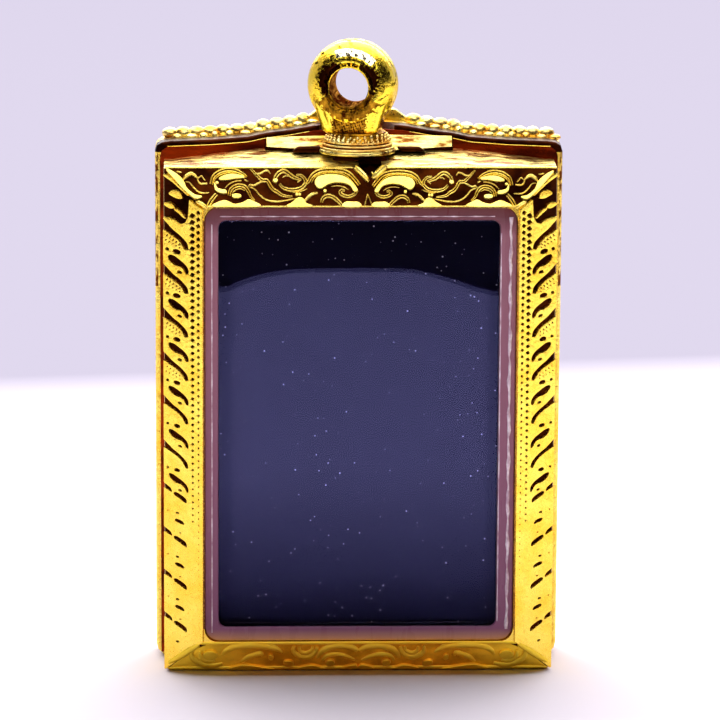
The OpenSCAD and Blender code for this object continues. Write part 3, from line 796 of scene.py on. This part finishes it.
TOP_LEAVES = [
    [(-16.95, 2.92), (-16.1, 2.52), (-15.5, 2.0), (-15.2, 1.4), (-14.5, 0.88), (-13.9, 0.76),
     (-14.4, 0.62), (-15.0, 0.98), (-15.6, 1.5), (-16.2, 2.1)],
    [(-12.35, 2.13), (-11.94, 2.39), (-11.3, 2.5), (-10.55, 2.42), (-10.2, 2.26), (-10.9, 2.22),
     (-11.7, 2.1)],
    [(-12.76, 1.78), (-12.55, 1.42), (-12.2, 1.3), (-11.82, 1.24), (-11.77, 1.04), (-12.29, 1.08),
     (-12.7, 1.33)],
    [(-12.95, -0.02), (-12.4, 0.3), (-11.9, 0.42), (-11.5, 0.3), (-11.0, 0.12), (-10.3, 0.26),
     (-9.8, 0.48), (-9.3, 0.3), (-8.8, 0.02), (-9.8, -0.05), (-11.5, -0.05)],
    [(-4.0, 1.9), (-3.75, 2.26), (-3.2, 2.42), (-2.5, 2.47), (-1.7, 2.38), (-1.1, 2.1), (-0.65, 1.68),
     (-0.32, 1.26), (-0.62, 1.2), (-0.9, 1.6), (-1.4, 1.84), (-2.1, 1.9), (-2.75, 1.8), (-3.2, 1.58),
     (-3.55, 1.42), (-3.88, 1.58)],
    [(-6.45, -0.02), (-6.0, 0.26), (-5.5, 0.62), (-5.1, 0.58), (-4.8, 0.2), (-4.3, 0.0), (-5.2, -0.05)],
    [(-1.6, -0.03), (-1.35, 0.28), (-0.8, 0.3), (-0.25, 0.26), (-0.1, -0.03)],
    drop(-10.85, 0.8, 0.8, 0.28),
    drop(-5.6, 0.92, 0.17, 0.17),
    drop(-5.36, 0.92, 0.15, 0.15),
    drop(-3.15, 1.2, 0.2, 0.17),
    drop(-7.45, 2.02, 0.34, 0.24, 10),
    drop(-12.55, 1.84, 0.2, 0.12),
]

# Ornament of the bottom band, left half: Y up from the base
LOW_STROKES = [
    ([(-16.9, 0.9), (-16.0, 1.5), (-15.1, 2.2), (-14.2, 2.85)], 0.3, 0.5, 0.6),
    ([(-14.95, 2.3), (-14.75, 1.4), (-14.0, 0.75), (-13.0, 0.5), (-12.1, 0.75)], 0.28, 0.5, 0.5),
    ([(-14.1, 2.15), (-14.02, 1.4), (-13.4, 1.0), (-12.8, 1.08)], 0.22, 0.5, 0.5),
    ([(-12.05, 1.75), (-11.7, 2.3), (-10.8, 2.72), (-9.4, 2.82), (-8.1, 2.66), (-7.3, 2.4),
      (-6.8, 2.0)], 0.32, 0.5, 0.4),
    ([(-10.4, 0.9), (-9.9, 1.42), (-9.2, 1.76), (-8.7, 1.9), (-8.55, 1.6)], 0.26, 0.5, 0.5),
    ([(-5.72, 2.75), (-5.8, 2.1), (-5.1, 1.5), (-4.3, 1.58), (-3.8, 2.15),
      (-3.72, 2.65)], 0.26, 0.5, 0.5),
    ([(-5.28, 2.65), (-5.2, 2.15), (-4.75, 1.92), (-4.22, 2.18), (-4.1, 2.65)], 0.2, 0.5, 0.5),
    ([(-3.65, 1.4), (-3.3, 2.05), (-2.7, 2.52), (-1.7, 2.76), (-0.7, 2.6), (-0.1, 2.2)], 0.3, 0.5, 0.7),
    ([(-3.2, 1.1), (-2.8, 1.6), (-1.9, 1.76), (-1.0, 1.5), (-0.3, 1.1)], 0.22, 0.5, 0.5),
    ([(-8.0, 3.0), (-7.4, 2.6), (-6.9, 2.1)], 0.16, 0.8, 0.5),
    ([(-14.0, 3.04), (-7, 3.04), (0.0, 3.04)], 0.14, 1.0, 1.0),
    ([(-16.8, 0.22), (-8, 0.22), (0.0, 0.22)], 0.22, 0.6, 1.0),
]
LOW_LEAVES = [
    drop(-13.2, 1.8, 1.2, 0.9),
    drop(-7.8, 1.55, 0.4, 0.55, 20),
    drop(-2.5, 0.95, 0.7, 0.55),
    drop(-6.2, 0.9, 0.9, 0.5, -15),
    [(-11.6, 0.25), (-11.0, 0.5), (-10.3, 0.7), (-9.4, 0.6), (-8.4, 0.4), (-7.6, 0.25), (-9.5, 0.2)],
    [(-5.4, 0.25), (-4.8, 0.52), (-4.0, 0.64), (-3.4, 0.42), (-3.0, 0.25), (-4.2, 0.2)],
    [(-1.4, 0.25), (-0.9, 0.55), (-0.25, 0.66), (-0.12, 0.25)],
]


def scrolls(name, strokes, leaves, place, material, middle=None, base=0.02, squashed=0.3):
    """Ornament of a long band: one half and its mirror image, and for the top band a middle piece."""
    if middle:
        ridges = wires(name + "_ridges", strokes)
    else:
        ridges = wires(name + "_ridges", [(a, b * 2.1, c, d) for a, b, c, d in strokes], 0.7, 0.05, False)
    raised = plates(name + "_leaves", [x if isinstance(x[0], Vector) else round_flow(x) for x in leaves])
    half = joined(name + "_half", [ridges, raised])
    parts = [half, mirrored(half)]
    if middle:
        parts[1].scale = (0.94, 0.94, 1)
        parts[1].location.x = 0.9
        settle(parts[1])
        parts.append(wires(name + "_middle", middle))
    thing = joined(name, parts)
    put(thing, place, (1, LONG_STRETCH, 1))
    lowest = min(vertex.co.z for vertex in thing.data.vertices)
    if lowest < base:
        share = (squashed - base) / (squashed - lowest)
        for vertex in thing.data.vertices:
            if vertex.co.z < squashed:
                vertex.co.z = squashed - (squashed - vertex.co.z) * share
    return finished(thing, 50, material)


# Ornament of the side bands: X out from the window, Y up. A cut is its middle line with its widths,
# and the lower leaves have smaller cuts
SIDE_TOPS = [40.6, 36.67, 32.75, 28.85, 24.95, 20.95, 17.05, 13.05, 9.15, 5.25]
SLOT = [(3.6, 0.02, 0.75), (3.2, -0.25, 0.58), (2.7, -0.62, 0.44), (2.2, -0.95, 0.4), (1.75, -1.35, 0.4),
        (1.5, -1.72, 0.44), (1.36, -2.1, 0.3)]
COMMA = [(2.98, -2.72, 0.2), (2.72, -2.95, 0.54), (2.3, -3.25, 0.62), (1.85, -3.45, 0.46),
         (1.52, -3.75, 0.4), (1.38, -4.05, 0.36), (1.33, -4.3, 0.2)]
LOW_SLIT = [(3.6, 0.12, 0.5), (3.2, -0.08, 0.42), (2.9, -0.28, 0.34), (2.72, -0.5, 0.14)]
LOW_DASH = [(2.6, -0.55, 0.14), (2.4, -0.62, 0.4), (1.95, -0.86, 0.44), (1.6, -1.12, 0.42),
            (1.45, -1.38, 0.14)]
LOW_COMMA = [(2.5, -2.98, 0.14), (2.3, -3.02, 0.34), (1.9, -3.16, 0.36), (1.62, -3.34, 0.16)]
SIDE_LEAVES = [
    [(3.35, 42.35), (2.9, 42.55), (2.45, 42.2), (2.8, 42.05)],
    [(2.9, 43.35), (2.45, 43.7), (1.95, 43.5), (1.8, 43.05), (2.2, 43.0), (2.55, 43.12)],
    [(2.35, 42.1), (1.95, 41.85), (1.5, 41.35), (1.62, 41.32), (2.05, 41.68), (2.42, 41.96)],
    [(3.38, 44.9), (3.0, 44.95), (2.3, 44.35), (1.6, 43.75), (1.3, 43.35), (1.9, 43.85), (2.6, 44.4)],
]
WHOLE_LEAVES = 6
HATCHED_LEAVES = 4
NICKS = 58
PAIRED_NICKS = 48
NICK_STEP = 0.585


def strip(points, top, k):
    """Both sides of a cut whose width is given at each point."""
    line = flow(points, 4)
    flat = [Vector((p.x, p.y + top)) for p in line]
    left, right = ([beside(flat, i, side * p.z * k / 2) for i, p in enumerate(line)] for side in (1, -1))
    return left, right[::-1]


def side_plate(outer=3.4):
    """Leaf plate with the long slots open to the outer edge, commas, dots and two rows of nicks."""
    edge = [Vector((outer, 0.2))]
    holes = []
    for count, top in reversed(list(enumerate(SIDE_TOPS))):
        whole = count < WHOLE_LEAVES
        k = 1.22 - 0.06 * count if whole else 0.6
        sides = strip(SLOT if whole else LOW_SLIT, top, k if whole else 1.0)
        low_side, high_side = ([p for p in side if p.x < outer - 0.02] for side in sides)
        edge.append(Vector((outer, low_side[0].y + 0.6 * (outer - low_side[0].x))))
        edge.extend(low_side + high_side)
        edge.append(Vector((outer, high_side[-1].y + 0.6 * (outer - high_side[-1].x))))
        if not whole:
            left, right = strip(LOW_DASH, top, 1.0)
            holes.append(left + right)
        if count < len(SIDE_TOPS) - 1:
            left, right = strip(COMMA if whole else LOW_COMMA, top, k if whole else 1.0)
            holes.append(left + right)
            holes.append(drop(2.0, top - 4.15, 0.46 * k, 0.28 * k, 14))
            holes.append(drop(3.08, top - 2.2, 0.34 * k, 0.3 * k))
        holes.append(drop(2.25, top - 2.35, 0.68 * k, 0.42 * k, 10))
        if count < HATCHED_LEAVES:
            for j in range(5):
                holes.append(drop(3.1 - 0.27 * j, top - 0.98 - 0.17 * j, 0.36 - 0.04 * count, 0.2, -50, 6))
                holes.append(drop(3.2 - 0.3 * j, top - 1.4 - 0.14 * j, 0.3 - 0.03 * count, 0.18, -40, 6))
    edge += [Vector(p) for p in (
        (outer, 41.15), (2.9, 41.22), (2.4, 41.02), (1.9, 40.72), (1.5, 40.85), (1.22, 41.4), (1.16, 42.2),
        (1.12, 42.95), (0.06, 42.2), (0.06, WINDOW_LOW + 0.06))]
    for i in range(NICKS):
        size = 1.34 - 0.015 * i
        z = FRONT_H - 3.9 - i * NICK_STEP
        if i < PAIRED_NICKS:
            holes.append(drop(0.88, z, 0.5 * size, 0.44 * size, 165, 4))
        holes.append(drop(0.37, z + 0.3, 0.38 * size, 0.4 * size, 14, 4))
    thing = drawn("side_leaves", [edge] + holes + [round_flow(leaf, 4) for leaf in SIDE_LEAVES], flat=True,
                  deep=0.14, round_edge=0.05, steps=1)
    thing.location.z = 0.09
    settle(thing)
    return thing


def side_borders():
    right = side_plate()
    put(right, SIDE_PLACE, (SIDE_STRETCH, 1, 1))
    thing = joined("side_leaves", [right, mirrored(right)])
    return finished(thing, 40, GOLD_RELIEF)


# Rear moulding, its grained arch and the small wings behind the eye
ARCH = [(0, 3.15), (4, 2.95), (6.2, 2.55), (8.2, 2.3), (9.8, 1.95), (13, 1.7), (16.7, 1.55)]
ARCH_BACK_Y = REAR_RIM_Y - 1.7
SPECKLED_Z = 34


def arch_z(x):
    """Height of the arch on which the grains sit."""
    x = abs(x)
    for (xa, za), (xb, zb) in zip(ARCH, ARCH[1:]):
        if x <= xb:
            return FRONT_H + za + (zb - za) * (x - xa) / (xb - xa)
    return FRONT_H + ARCH[-1][1]


def rim_finish(c, n):
    """Painted shade on the front part of the arch, streaked behind it, speckled at the upper front edges,
    whose dark patches are partly painted shade of the gap beside the front casing.
    """
    if c.z > 46 and c.y < ARCH_BACK_Y and (n.z > 0.4 or n.y < 0.3):
        return 3
    if c.z > 46 and n.z > 0.4:
        return 1
    return 4 if abs(c.x) > 17.1 and c.z > SPECKLED_Z and c.y < REAR_Y + 0.28 else 0


def rear_body():
    """Rear moulding: the wide rim, the channel in front of it laid with red painted shade, the flat bezel
    behind, and the wings.
    """
    side = [(REAR_HALF - 1.2, 0), (REAR_HALF - 0.6, 0.16), (REAR_HALF - 0.16, 0.6), (REAR_HALF, 1.2),
            (REAR_HALF, 46.1), (17.84, 46.65), (17.4, 46.95), (16.7, 47.05), (13, 47.2), (9.8, 47.45),
            (8.2, 47.8), (6.2, 48.05), (4, 48.45), (1.5, 48.6)]
    outline = side + [(-x, z) for x, z in reversed(side)]
    opening = round_box(WINDOW_W + 2.2, 2.0, 43.5, WINDOW_ROUND)
    rim = slab("rim", [outline, opening], REAR_Y, REAR_RIM_Y, 0.26, 4)
    pick(rim)
    edit()
    for plane in ({"plane_co": (0, ARCH_BACK_Y, 0), "plane_no": (0, 1, 0)},
                  {"plane_co": (0, 0, SPECKLED_Z), "plane_no": (0, 0, 1)}):
        bpy.ops.mesh.select_all(action="SELECT")
        bpy.ops.mesh.bisect(**plane)
    leave()
    socket = disc(3.55, STEP_Z - 0.4, STEP_Z + 3.6, (FOOT_X, EYE_Y), 64)
    modify(rim, "BOOLEAN", object=socket, solver="EXACT")
    bpy.data.objects.remove(socket)
    bezel = moulding("bezel", 35.3, 45.4, WINDOW_LOW - 0.35, WINDOW_TOP - 0.35, 0.8, 0.4, 0.7, 0.4)
    soften(bezel, 0.08, 2, 50)
    bezel.rotation_euler.z = math.pi
    bezel.location = (0, REAR_RIM_Y, 0.35)
    settle(bezel)
    wings = slab("wings", [((-4.8, 48.1), (4.5, 48.1), (4.35, 48.7), (3.3, 49.5), (2.6, 49.62),
                            (-2.9, 49.62), (-3.6, 49.5), (-4.7, 48.7))],
                 REAR_RIM_Y - 0.85, REAR_RIM_Y - 0.05, 0.12)
    # The channel is a thin slab of painted shade, dark red and near-black at its outer ends, standing for the
    # shade between the front casing and the rim.
    inner = [(17.56, 0.4)] + [(x * 0.976, z - 0.42) for x, z in side[4:]]
    channel = slab("channel", [inner + [(-x, z) for x, z in reversed(inner)], opening],
                   REAR_Y - 0.05, REAR_Y + 0.2, 0.02)
    lines = [[side * (16.9 - i * 0.5) for i in range(26)] for side in (-1, 1)]
    thread = drawn("channel_line", [[((x, arch_z(x) - 0.45), 0.07) for x in line] for line in lines])
    stand(thread, REAR_Y - 0.05)
    for part, rule in ((channel, lambda c, n: 3 if abs(c.x) > 17.1 else 2), (rim, rim_finish),
                       (bezel, lambda c, n: 0), (wings, lambda c, n: 1 if n.z > 0.4 and c.z > 46 else 0),
                       (thread, lambda c, n: 0)):
        paint(part, (GOLD_SIDE, GOLD_TOP, PAINTED_SHADE_RED, PAINTED_SHADE_DARK, SPECKLED_PLATE_AND_SHADE), rule)
    thing = joined("rear_casing", [channel, rim, bezel, wings, thread])
    return finished(thing, 35)


def grains(step=1.185):
    """Row of cast grains along the arch, no two quite alike, with a smaller one in front of each gap."""
    first = added(bpy.ops.mesh.primitive_uv_sphere_add, segments=18, ring_count=12, radius=0.55)
    row = []
    for i in range(-14, 15):
        x = i * step + (0.1 if i > 0 else -0.1 if i < 0 else 0)
        if abs(x + 0.2) < 4.2:
            continue
        vary = math.sin(i * 12.9898) * 0.5 + math.sin(i * 4.1 + 1.7) * 0.5
        row.append(copy_of(first, (1.3 + 0.08 * vary, 1.0, 1.0 - 0.14 * vary),
                           (x + 0.06 * vary, REAR_RIM_Y - 0.75 + 0.04 * vary, arch_z(x) + 0.3 + 0.03 * vary)))
        vary = math.sin(i * 7.7 + 1.25)
        x += (0.5 + 0.15 * vary) * step
        row.append(copy_of(first, (0.825 + 0.198 * vary, 0.726, 0.594 - 0.132 * vary),
                           (x, REAR_RIM_Y - 1.25, arch_z(x) + 0.02)))
    bpy.data.objects.remove(first)
    for side in (-1, 1):
        line = [side * (4.3 + i * 0.62) for i in range(21)]
        ridge = drawn("ridge", [[((x, arch_z(x) + 0.12), 0.62) for x in line]])
        stand(ridge, REAR_RIM_Y - 0.8)
        row.append(ridge)
    thing = joined("top_grains", row)
    return finished(thing, 80, GOLD_ROUGH)


# Eye on its beaded foot. The section of the ring starts at the bore: out from its middle, and across
RING = [(1.72, -1.4), (1.72, -1.72), (1.78, -1.8), (1.86, -1.78), (1.92, -1.64), (2.0, -1.6), (2.1, -1.68),
        (2.22, -1.84), (2.4, -1.93), (2.6, -1.93), (2.8, -1.86), (3.0, -1.73), (3.2, -1.56), (3.4, -1.36),
        (3.6, -1.12), (3.77, -0.85), (3.89, -0.55), (3.95, -0.25), (3.94, 0.0), (3.86, 0.1), (3.86, 0.2),
        (3.95, 0.32), (3.98, 0.55), (3.97, 0.9), (3.88, 1.2), (3.7, 1.45), (3.4, 1.66), (3.0, 1.8),
        (2.6, 1.88), (2.2, 1.86), (1.9, 1.78), (1.76, 1.66), (1.72, 1.5), (1.72, 0.5), (1.72, -0.5)]


def eye_ring():
    """Section of the ring, a lip at the bore and a shallow groove round the rim, spun all round."""
    outline = [Vector((x, y, 0)) for x, y in RING]
    ring = drawn("ring_section", [outline], flat=True, round_edge=0.0, steps=0)
    choose(ring, "FACE", lambda c, n: True)
    bpy.ops.mesh.delete(type="ONLY_FACE")
    bpy.ops.mesh.select_all(action="SELECT")
    bpy.ops.mesh.dissolve_limited(angle_limit=0.001)
    bpy.ops.mesh.select_all(action="SELECT")
    bpy.ops.mesh.spin(steps=96, angle=2 * math.pi, center=(0, 0, 0), axis=(0, 1, 0))
    leave()
    clean(ring, 0.002)
    return ring


def ring_finish(c, n):
    """Bore in brown painted shade, a ragged patch of painted shade round it on the front, a pale painted
    highlight above, bright elsewhere.
    """
    reach = math.hypot(c.x, c.z)
    turn = math.degrees(math.atan2(c.x, c.z))
    angle = abs(turn)
    ragged = (0.12 * math.sin(angle * 0.9 + c.x * 3) + 0.1 * math.sin(angle * 0.37 + 2)
              + 0.06 * math.sin(c.x * 21))
    edge = 2.08 if angle < 25 else 2.35 + 0.55 * math.exp(-((angle - 62) / 26) ** 2)
    if reach < 1.75:
        return 4
    if c.y >= -1:
        return 0
    if 1.9 < reach < edge + ragged:
        return 2 if angle > 105 else 1
    if reach < 3.0 + ragged and angle > 115:
        return 2
    return 3 if 2.7 < reach < 3.45 and -24 < turn < 44 else 0


def neck_finish(c, n):
    """Bright cheeks, and between them a rough brown plate, darkened as painted shade, with dark pits of
    painted shade.
    """
    spots = math.sin(c.x * 17 + c.z * 9) + math.sin(c.z * 23 - c.x * 7) + math.sin(c.x * 31 + c.z * 4)
    if abs(c.x) > 1.55 + 0.08 * spots:
        return 0
    return 2 if spots > -0.5 else 1


def eye():
    """The ring, with its neck of a rough middle between two bright cheeks."""
    ring = eye_ring()
    low, high = STEP_Z + 1.35 - EYE_Z, -1.9
    middle = (low + high) / 2
    neck = joined("neck", [block((3.6, 2.7, high - low), (0, 0, middle), 1.3, 1.38, 0.3)] + [
        block((1.25, 2.8, high - low + 0.8), (side * 1.8, 0, middle + 0.4), 1.4, 1.16, 0.55, 6)
        for side in (-1, 1)])
    modify(neck, "REMESH", mode="VOXEL", voxel_size=0.08)
    modify(neck, "SMOOTH", factor=0.5, iterations=5)
    for part, rule in ((ring, ring_finish), (neck, neck_finish)):
        paint(part, (GOLD_EYE, PAINTED_SHADE_DARK, NECK_PLATE_AND_SHADE, PAINTED_HIGHLIGHT_PALE, BORE_PAINTED_SHADE), rule)
    thing = joined("eye", [ring, neck])
    thing.rotation_euler.z = EYE_TURN
    thing.location = (EYE_X, EYE_Y, EYE_Z)
    settle(thing)
    return finished(thing, 50)


def eye_foot():
    """Round plinth in two steps, a ring of petals and beads, and the collar of the neck."""
    parts = []
    # The narrower discs between the steps, finish 1, are red painted shade in the grooves.
    for radius, low, high, edge, index in ((3.32, 0.02, 0.2, 0.08, 0), (2.85, 0.16, 0.38, 0.02, 1),
                                           (3.1, 0.34, 0.48, 0.06, 0), (2.62, 0.44, 0.64, 0.02, 1),
                                           (2.9, 0.6, 0.74, 0.06, 0), (2.5, 1.3, 1.5, 0.1, 2)):
        layer = disc(radius, low, high)
        soften(layer, edge, 3, 40)
        paint(layer, (GOLD_ROUGH, PAINTED_SHADE_RED, NECK_PLATE_AND_SHADE), lambda c, n: index)
        parts.append(layer)
    cone = added(bpy.ops.mesh.primitive_cone_add, vertices=72, radius1=2.75, radius2=2.3, depth=0.9,
                 location=(0, 0, 1.0))
    settle(cone)
    soften(cone, 0.05, 2, 40)
    give(cone, NECK_PLATE_AND_SHADE)
    parts.append(cone)
    grain = added(bpy.ops.mesh.primitive_uv_sphere_add, segments=12, ring_count=8, radius=1.0)
    give(grain, GOLD_ROUGH)
    for count, radius, height, size, turn in ((36, 2.84, 0.78, 0.14, 0.0), (32, 2.72, 0.98, 0.14, 0.5),
                                              (28, 2.58, 1.2, 0.13, 0.1)):
        for i in range(count):
            vary = math.sin(i * 12.9898 + count)
            a = 2 * math.pi * (i + turn + 0.25 * vary) / count
            shape = (size, size * (1.1 + 0.3 * vary), size * (1.3 - 0.3 * math.sin(i * 7.3)))
            place = (radius * math.cos(a), radius * math.sin(a), height + 0.05 * vary)
            parts.append(copy_of(grain, shape, place, (0.5 * vary, -0.25, a)))
    bpy.data.objects.remove(grain)
    thing = joined("eye_foot", parts)
    thing.scale.y = 0.8
    thing.location = (FOOT_X, EYE_Y, STEP_Z)
    settle(thing)
    return finished(thing, 45)


# Clear box and plate
PANE = [p + Vector((-0.135, 0)) for p in round_box(24.65, 4.45, 41.15, 0.7)]


def clear_front():
    """Clear pane set between the walls."""
    thing = slab("clear_front", [inward(PANE, 0.03)], WINDOW_Y + 0.3, SHIFT - 3.46, 0.05)
    return finished(thing, material=CLEAR)


def box_walls():
    """Frosted walls of the box around the plate."""
    walls = slab("box_walls", [round_box(29.3, 2.15, 43.35, 1.2), round_box(25.8, 4.0, 41.5, 0.8)],
                 SHIFT - 3.42, SHIFT - 0.05, 0.1)
    edge = slab("wall_front", [round_box(27.28, WINDOW_LOW + 0.06, WINDOW_TOP - 0.06, 1.25), PANE],
                WINDOW_Y + 0.28, SHIFT - 3.41, 0.12)
    thing = joined("box_walls", [walls, edge])
    return finished(thing, material=FROSTED)


def edge_highlight_lines():
    """Painted highlights: thin bright beads in the frosted wall, thick and wavy on the right."""
    right = [((13.12 + 0.03 * math.sin(z * 2.3) + 0.015 * math.sin(z * 5.1 + 1), z),
              0.26 + 0.08 * math.sin(z * 1.7) + 0.05 * math.sin(z * 4.3))
             for z in (4.2 + i * 0.313 for i in range(120))]
    lines = [right, [((12.28, 4.9 + i * 0.9), 0.1 + 0.04 * math.sin(i * 1.3)) for i in range(40)],
             [((-13.02, 3.9 + i * 0.9), 0.1 + 0.04 * math.sin(i * 1.3)) for i in range(42)],
             [((-12.3 + i * 0.6, 41.5), 0.08 + 0.05 * math.sin(i * 1.9)) for i in range(41)]]
    thing = drawn("edge_highlight_lines", [[(Vector(p), width) for p, width in line] for line in lines])
    stand(thing, WINDOW_Y + 0.29)
    return finished(thing, 60, EDGE_HIGHLIGHT_PAINT)


def plate():
    thing = slab("dark_plate", [round_box(25.3, 0, 37.2, 0.7)], 0, 5.0, 0.1, 3)
    thing.location = (-0.2, SHIFT - 3.39, 4.06)
    settle(thing)
    return finished(thing, 40, PLATE)


# Build
pieces = []
casing = front_body()
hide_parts("front_frame")
pieces.append(casing)
for ornament in (scrolls("top_scrolls", TOP_STROKES, TOP_LEAVES, TOP_PLACE, GOLD_LEAF, TOP_MIDDLE),
                 scrolls("low_scrolls", LOW_STROKES, LOW_LEAVES, LOW_PLACE, GOLD_LOW),
                 side_borders()):
    pieces.append(ornament)
rear = rear_body()
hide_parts("rear_frame")
pieces.append(rear)
row = grains()
pieces.append(row)
ring = eye()
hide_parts("bail")
pieces.append(ring)
foot = eye_foot()
pieces.append(foot)
pane = clear_front()
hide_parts("acrylic_front")
pieces.append(pane)
for part in (box_walls(), edge_highlight_lines()):
    pieces.append(part)
tablet = plate()
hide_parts("amulet_plate")
pieces.append(tablet)
for part in pieces:
    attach(part, "root")
give(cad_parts["acrylic_back"], CLEAR)


# Stage, in metres: a pale table that turns lavender towards the back, and a dark card above the front,
# which only reflections show
def stage_material(name, color, rough=0.9):
    material, shader = new_material(name)
    feed(shader, {"Base Color": (*color, 1), "Roughness": rough, "Specular IOR Level": 0.1})
    return material, shader


LAVENDER = (0.69, 0.632, 0.8)
TABLE_TURN = math.radians(-7.7)
table_material, table_shader = stage_material("pale_table", (0.9, 0.88, 0.92))
place = add_node(table_material, "TexCoord", {}, "Object")
place = add_node(table_material, "Mapping", {"Vector": place, "Rotation": (0, 0, TABLE_TURN)}, "Vector")
depth = add_node(table_material, "SeparateXYZ", {"Vector": place}, "Y")
# The colour near is a painted shadow: the table is darker close to the object and behind it.
near, wide, unlit = (0.62, 0.58, 0.65), (0.97, 0.93, 0.98), (0.0, 0.0, 0.0)
table_color = add_ramp(table_material, add_range(table_material, depth, 0.0, 1.0, -0.1, 0.12),
                       [(0.0, wide), (0.14, wide), (0.36, near), (0.909, near), (1.0, unlit)])
feed(table_shader, {"Base Color": table_color,
                    "Emission Color": (*LAVENDER, 1),
                    "Emission Strength": add_range(table_material, depth, 0.0, 1.0, 0.1, 0.12)})
table = added(bpy.ops.mesh.primitive_plane_add, size=6)
table.name = "table"
give(table, table_material)

card_material, _ = stage_material("dark_card", (0.006, 0.003, 0.003))
card_front = flow([(-0.02, -0.165), (-0.0112, -0.1703), (-0.009, -0.174), (-0.0063, -0.1785),
                   (-0.0035, -0.1808), (0.0, -0.182), (0.0105, -0.182), (0.0135, -0.1803), (0.0175, -0.1745),
                   (0.0215, -0.168), (0.031, -0.163)], 4)
card_edge = [Vector(p) for p in ((-0.9, -0.15), *card_front, (0.9, -0.15), (0.9, -1.6), (-0.9, -1.6))]
card = drawn("dark_card", [[p / MM for p in card_edge]], flat=True, round_edge=0.0, steps=0)
card.location.z = 0.5
to_metres(card)
give(card, card_material)
card.visible_camera = False
card.visible_diffuse = False
card.visible_shadow = False


# Three large soft lights: overhead, behind, and one in front that gives gloss alone
def soft_light(name, place, target, size, radiance, color=(1, 0.985, 0.97)):
    data = bpy.data.lights.new(name, "AREA")
    data.shape = "RECTANGLE"
    data.size, data.size_y = size
    data.energy = radiance * math.pi * size[0] * size[1]
    data.color = color
    lamp = bpy.data.objects.new(name, data)
    bpy.context.collection.objects.link(lamp)
    lamp.location = place
    lamp.rotation_euler = (Vector(target) - Vector(place)).to_track_quat("-Z", "Y").to_euler()
    return lamp


soft_light("top_light", (0, 0.27, 0.55), (0, 0.03, 0), (1.1, 0.8), 4.2)
soft_light("rear_light", (0, 0.6, 0.3), (0, 0, 0.04), (1.0, 0.25), 5.0)
front_light = soft_light("front_light", (0, -0.4, 0.5), (0, 0, 0.04), (0.7, 0.5), 3.0)
front_light.visible_diffuse = False

# Surroundings: pale behind and at the sides, dark in front
world = bpy.data.worlds.new("studio")
world.use_nodes = True
place = add_node(world, "TexCoord", {}, "Generated")
depth = add_node(world, "SeparateXYZ", {"Vector": place}, "Y")
sky = add_ramp(world, add_range(world, depth, 0.0, 1.0, -1.0, 1.0),
               [(0.4, (0.006, 0.002, 0.002)), (0.62, (0.7, 0.66, 0.76))])
feed(world.node_tree.nodes["Background"], {"Color": sky})
bpy.context.scene.world = world

# Camera at the photograph's viewing angle
AZIMUTH, ELEVATION, ROLL = math.radians(-1.905), math.radians(12.5), math.radians(0.326)
AIM = Vector((0.154, SHIFT, 27.48)) * MM
DISTANCE = 438.76 * MM
FRAME_PIXELS = 720
FOCAL_PIXELS = 4937.3
SENSOR = 36
back = Vector((math.sin(AZIMUTH) * math.cos(ELEVATION), -math.cos(AZIMUTH) * math.cos(ELEVATION),
               math.sin(ELEVATION)))
across = Vector((0, 0, 1)).cross(back).normalized()
upward = back.cross(across)
right_axis = across * math.cos(ROLL) + upward * math.sin(ROLL)
up_axis = upward * math.cos(ROLL) - across * math.sin(ROLL)
camera_data = bpy.data.cameras.new("camera")
camera_data.lens = FOCAL_PIXELS / FRAME_PIXELS * SENSOR
camera_data.sensor_width = SENSOR
camera_data.clip_start = 0.01
camera_data.clip_end = 20
camera = bpy.data.objects.new("camera", camera_data)
bpy.context.collection.objects.link(camera)
turn = Matrix((right_axis, up_axis, back)).transposed().to_4x4()
camera.matrix_world = Matrix.Translation(AIM + back * DISTANCE) @ turn
bpy.context.scene.camera = camera

view = bpy.context.scene.view_settings
view.view_transform = "Standard"
view.look = "None"
